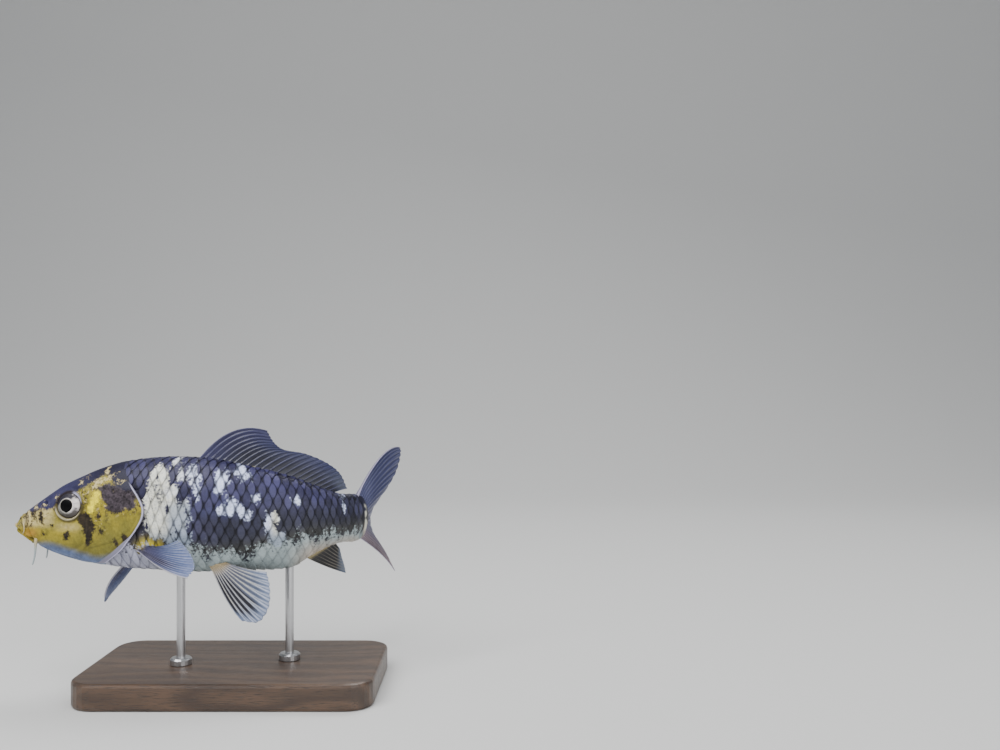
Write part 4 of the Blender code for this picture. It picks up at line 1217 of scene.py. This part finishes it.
def fin(name):
    """A web over forking rays as one closed thin solid, in the place of the fin's plain solid."""
    rays, guides = FINS[name]
    seed = sorted(FINS).index(name)
    i = np.linspace(0.0, rays - 1.0, (rays - 1) * COLUMNS_PER_RAY + 1)[:, None]
    t = np.linspace(0.0, 1.0, FIN_STEPS)[None, :]
    shape = (i.size, FIN_STEPS)
    table = np.column_stack((np.linspace(0.0, 1.0, len(guides)), thousandths(*guides)))
    root, tip, bow = np.split(read_table(table, i.ravel() / (rays - 1.0))[:, None, :], 3, axis=2)
    phase = i - np.round(i)
    uneven = np.abs(noise(places(i * 0.9, 3.0, seed), 1.0, seed))[:, None]
    reach = (t * (1.0 - NOTCH * (2.0 * np.abs(phase)) ** 2 - RAGGED * uneven))[..., None]
    sheet = (root + (tip - root) * reach + bow * (4.0 * reach * (1.0 - reach))) * STANDARD_LENGTH
    normal = unit(np.cross(np.gradient(sheet, axis=0), np.gradient(sheet, axis=1)))
    ripple = rough_noise(places(i * 0.35, t * 2.0, seed), 1.0, seed, 2).reshape(shape)
    pleat = np.cos(2.0 * math.pi * phase) * ease(t, 0.1, 0.6)
    sheet = sheet + normal * (RIPPLE * ripple * ease(t, 0.15, 0.9) + PLEAT * pleat)[..., None]

    first = bell(i, 0.0, 0.55)
    ridge = ray_ridges(phase, t, first)
    joints = 1.0 - 0.1 * bell((t * JOINTS + 0.37 * np.round(i)) % 1.0, 0.5, 0.16) * ease(t, 0.25, 0.35)
    ray = (RAY_HALF[0] + (RAY_HALF[1] - RAY_HALF[0]) * t) * (1.0 + 0.9 * first) * ridge * joints
    half = WEB_HALF * (1.0 - 0.4 * t) + ray + ROOT_HALF * fade(t, 0.0, 0.16) ** 2

    fibre = noise(places(i * 3.1, t * 4.0, 5.0 + seed), 1.0, 31 + seed)
    flat, across, ridge = (np.broadcast_to(part, shape).ravel() for part in (t, i / (rays - 1.0), ridge))
    colour = FIN_COLOURS[name.split("_")[0]](flat, across, ridge, fibre)
    tint = np.column_stack((colour, (1.0 - ridge) * ease(flat, 0.1, 0.35)))
    piece = fish_piece(name + "_rayed", plate_points(sheet, normal, half), plate_faces(*shape).tolist(),
                       "fins", np.tile(tint, (2, 1)))
    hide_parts(name)


# ---------------- barbels
BARBEL_RINGS, BARBEL_SIDES = 40, 16
BARBEL_SINK, BARBEL_REACH = 0.0004, 0.0009  # depth of the root, and how far it first grows out
BARBEL_HANG = (-0.1, 0.22, -1.0)            # forward, outward and down


def barbel(name, kind, side):
    """A soft tapering feeler that grows out of the skin beside the mouth."""
    share, degrees, length, radius = kind
    angle = side * math.radians(degrees)
    normal = body_normal(share, angle)
    t = np.linspace(0.0, 1.0, BARBEL_RINGS)
    flare = np.exp(-t * 9.0)
    path = body_point(share, angle) + normal * (BARBEL_REACH * (1.0 - flare) - BARBEL_SINK)[:, None]
    path += unit(np.multiply(BARBEL_HANG, (1.0, side, 1.0))) * (t * length)[:, None]
    path[:, 0] += 0.0012 * np.sin(2.4 * t)
    path[:, 1] += side * 0.001 * t * (1.0 - t)
    wide = 1.25 * radius * (1.0 - 0.5 * t + 0.8 * flare) * (1.0 + 0.05 * np.sin(t * 90.0))
    wide *= np.sqrt(1.0 - ease(t, 0.93, 1.02) ** 2)
    run = unit(np.gradient(path, axis=0))
    first = unit(np.cross(run, (1.0, 0.0, 0.0)))
    second = np.cross(run, first)
    turn = np.linspace(0.0, 2.0 * math.pi, BARBEL_SIDES, endpoint=False)[None, :, None]
    ring = first[:, None, :] * np.cos(turn) + second[:, None, :] * np.sin(turn)
    points = (path[:, None, :] + ring * wide[:, None, None]).reshape(-1, 3)
    shade = np.append(np.repeat(ease(t, 0.0, 0.5), BARBEL_SIDES), (0.0, 1.0))
    tint = painted(CREAM * 0.8, (CREAM * 0.7 if "lip" in name else BELLY, shade))
    piece = fish_piece(name + "_feeler", np.concatenate((points, path[:1], path[-1:])),
                       flipped(tube_faces(BARBEL_RINGS, BARBEL_SIDES)), "barbel", tint)
    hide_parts(name)


# ---------------- eyes
EYE_SIDES, EYE_RINGS, EYE_BACK_RINGS = 96, 66, 12
PUPIL, IRIS, EYE_RIM = 0.00295, 0.0055, 0.0067  # radii in metres
PUPIL_AHEAD, EYE_BACK = 0.0006, 0.003
# Radius and depth behind the cornea, in millimetres, of the eye's front from its middle outwards
EYE_PROFILE = thousandths(
    (0, 0.24), (1, 0.26), (2, 0.33), (2.7, 0.45), (2.92, 0.6), (3.06, 0.52), (3.2, 0.45), (3.5, 0.43),
    (4.3, 0.4), (5.2, 0.36), (5.45, 0.4), (5.62, 0.58), (5.82, 0.46), (6.1, 0.32), (6.4, 0.5), (6.7, 1.2))


def cornea_height(radius):
    reach = EYE_RADIUS * STANDARD_LENGTH
    return reach * EYE_FLATNESS * np.sqrt(np.maximum(1.0 - (radius / (reach * 1.02)) ** 2, 0.0))


def eye_colour(radius, turn):
    """Colour of the eye: its dark pupil with a pale ring, the mottled iris with painted shade over its top,
    painted shade in a groove, and the rim with a painted highlight.
    """
    ahead, above = np.cos(turn), np.sin(turn)
    cloud = rough_noise(places(ahead * 3.0, above * 3.0, radius * 900.0), 1.0, 43)
    fibre = rough_noise(places(ahead * 9.0, above * 9.0, radius * 500.0), 1.0, 41)
    lit = ease(0.35 * above - 0.75 * ahead + 0.2 * cloud, -0.4, 0.65)
    # upper: painted shade over the top of the iris, under the upper edge of the socket
    upper = ease(above + 0.3 * ahead + 0.55 * cloud + 0.25 * fibre, 0.25, 0.75)
    lower = ease(0.5 * cloud + 0.25 * fibre - above - 0.15 * ahead, 0.2, 0.85)
    ring = bell(radius, PUPIL + 0.00018, 0.00014) * np.clip(0.2 + 0.7 * lit + 0.3 * cloud, 0.0, 1.0)
    # painted shade in the groove round the iris, wider ahead and below
    groove_shade_width = 0.00014 + 0.00022 * ease(ahead - 0.6 * above, 0.2, 1.0)
    # the rim, with a cream crescent below, and a lilac crescent behind and above as a painted highlight
    rim = painted(BROWN * (1.0, 1.0, 1.8),
                  (CREAM * (1.0, 1.05, 1.3), ease(0.15 * ahead - above, 0.1, 0.6)),
                  (LILAC * 1.15, ease(-ahead, 0.1, 0.55) * ease(above, 0.05, 0.4)))
    iris = painted(tone(230, 225, 205), (tone(680, 620, 590), lit))
    return painted(
        iris * (1.0 + 0.42 * fibre[:, None]),
        (tone(560, 520, 600), 0.5 * lit * ease(cloud, -0.1, 0.5)),
        (tone(14, 13, 24), 0.96 * upper * ease(radius, PUPIL + 0.0003, 0.0036)),
        (tone(52, 45, 40), 0.92 * lower * ease(radius, PUPIL + 0.0003, 0.0042)),
        (tone(800, 740, 640), ring),
        (tone(20, 16, 14), bell(radius, 0.0056, groove_shade_width)),
        (rim, ease(radius, 0.00568, 0.00585)),
        (tone(2.2, 2.2, 2.6), fade(radius, PUPIL - 0.00006, PUPIL + 0.00008)))


def eye(side):
    """A closed eyeball turned on its axis, with a pupil that is set ahead and notched below."""
    name = "left" if side < 0 else "right"
    centre, outward, forward, upward = eye_frame(side)
    radii = np.concatenate(([0.00003, 0.0001], np.linspace(0.0002, EYE_RIM, EYE_RINGS), EYE_PROFILE[1:, 0]))
    radii = np.unique(np.round(radii, 7))
    front = cornea_height(radii) - line(EYE_PROFILE, radii)
    back = np.linspace(1.0, 0.05, EYE_BACK_RINGS)
    behind = front[-1] - 0.0004 - EYE_BACK * np.sqrt(1.0 - back ** 2)
    rings = len(radii) + EYE_BACK_RINGS
    turn = np.tile(np.linspace(0.0, 2.0 * math.pi, EYE_SIDES, endpoint=False), (rings, 1))
    wide = np.concatenate((radii, back * EYE_RIM))[:, None]
    notch = bell(turn, 1.5 * math.pi, 0.16) * bell(wide, PUPIL, 0.0005)
    notch[len(radii):] = 0.0
    wide = wide * (1.0 + 0.1 * notch)
    high = np.concatenate((front, behind))[:, None]
    shift = np.append(PUPIL_AHEAD * fade(radii, PUPIL, IRIS), 0.0 * back)[:, None]
    local = places(high, wide * np.cos(turn) + shift, wide * np.sin(turn))
    local = np.concatenate((local, [(high[0, 0], shift[0, 0], 0.0), (high[-1, 0], 0.0, 0.0)]))
    faces = tube_faces(rings, EYE_SIDES)
    if np.cross(forward, upward) @ outward < 0:
        faces = flipped(faces)
    radius = np.append(np.repeat(np.append(radii, np.full(EYE_BACK_RINGS, EYE_RIM)), EYE_SIDES),
                       (0.0, EYE_RIM))
    piece = fish_piece("eye_ball_" + name, centre + local @ (outward, forward, upward), faces, "eye",
                       eye_colour(radius, np.append(turn, (0.0, 0.0))))
    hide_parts("eye_" + name)


# ---------------- stage
CAMERA = (0.1236, -0.4729, 0.147)
# Soft lights: place, aim, size and power
LIGHTS = {
    "key": ((-0.35, -0.55, 0.95), (0.0, 0.0, 0.08), 0.85, 15.5),
    "fill": ((0.75, -0.75, 0.45), (0.02, 0.0, 0.08), 0.9, 6.0),
    "back": ((0.25, 0.45, 1.1), (0.0, 0.0, 0.08), 0.6, 7.0),
}


def backdrop():
    """A floor that bends up into a wall."""
    turn = np.linspace(0.0, 0.5 * math.pi, 24)
    depth = np.concatenate((np.linspace(-2.0, 0.7, 8, endpoint=False), 0.7 + np.sin(turn), [1.7]))
    height = np.concatenate((np.zeros(8), 1.0 - np.cos(turn), [3.0]))
    points = places(np.linspace(-4.0, 4.2, 5), depth[:, None], height[:, None])
    floor = made_mesh("backdrop", points, grid_faces(len(depth), 5)[:, ::-1].tolist())
    n = Nodes("backdrop_paper", None)
    floor.data.materials.append(n.finish(n.surface((0.62, 0.62, 0.61), 0.85)))


def stage():
    """Backdrop, soft lights and the photo's camera."""
    backdrop()
    for name, (place, target, size, power) in LIGHTS.items():
        light = bpy.data.lights.new(name, "AREA")
        light.energy = power
        light.size = size
        lamp = linked(name, light)
        lamp.location = place
        lamp.rotation_euler = (Vector(target) - Vector(place)).to_track_quat("-Z", "Y").to_euler()

    world = bpy.data.worlds.new("studio")
    world.use_nodes = True
    sky = world.node_tree.nodes["Background"].inputs
    sky["Color"].default_value = (0.92, 0.95, 1.0, 1.0)
    sky["Strength"].default_value = 0.42
    bpy.context.scene.world = world

    lens = bpy.data.cameras.new("camera")
    lens.lens = 36.0
    lens.sensor_width = 36.0
    lens.clip_start = 0.02
    camera = linked("camera", lens)
    camera.location = CAMERA
    camera.rotation_euler = (math.radians(90.0), 0.0, 0.0)
    bpy.context.scene.camera = camera


# ---------------- the whole fish
body = skin()
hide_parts("head", "lower_jaw", "gill_cover_left", "gill_cover_right", "trunk", "tail_stalk")
scales()
for fin_name in FINS:
    fin(fin_name)
for stem, kind in BARBELS.items():
    barbel(stem + "left", kind, -1)
    barbel(stem + "right", kind, 1)
eye(-1.0)
eye(1.0)
for node_name, finish in (("stand_base", "wood"), ("stand_rod_front", "steel"), ("stand_rod_rear", "steel")):
    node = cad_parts[node_name]
    node.data.materials.clear()
    node.data.materials.append(MATERIALS[finish])
stage()
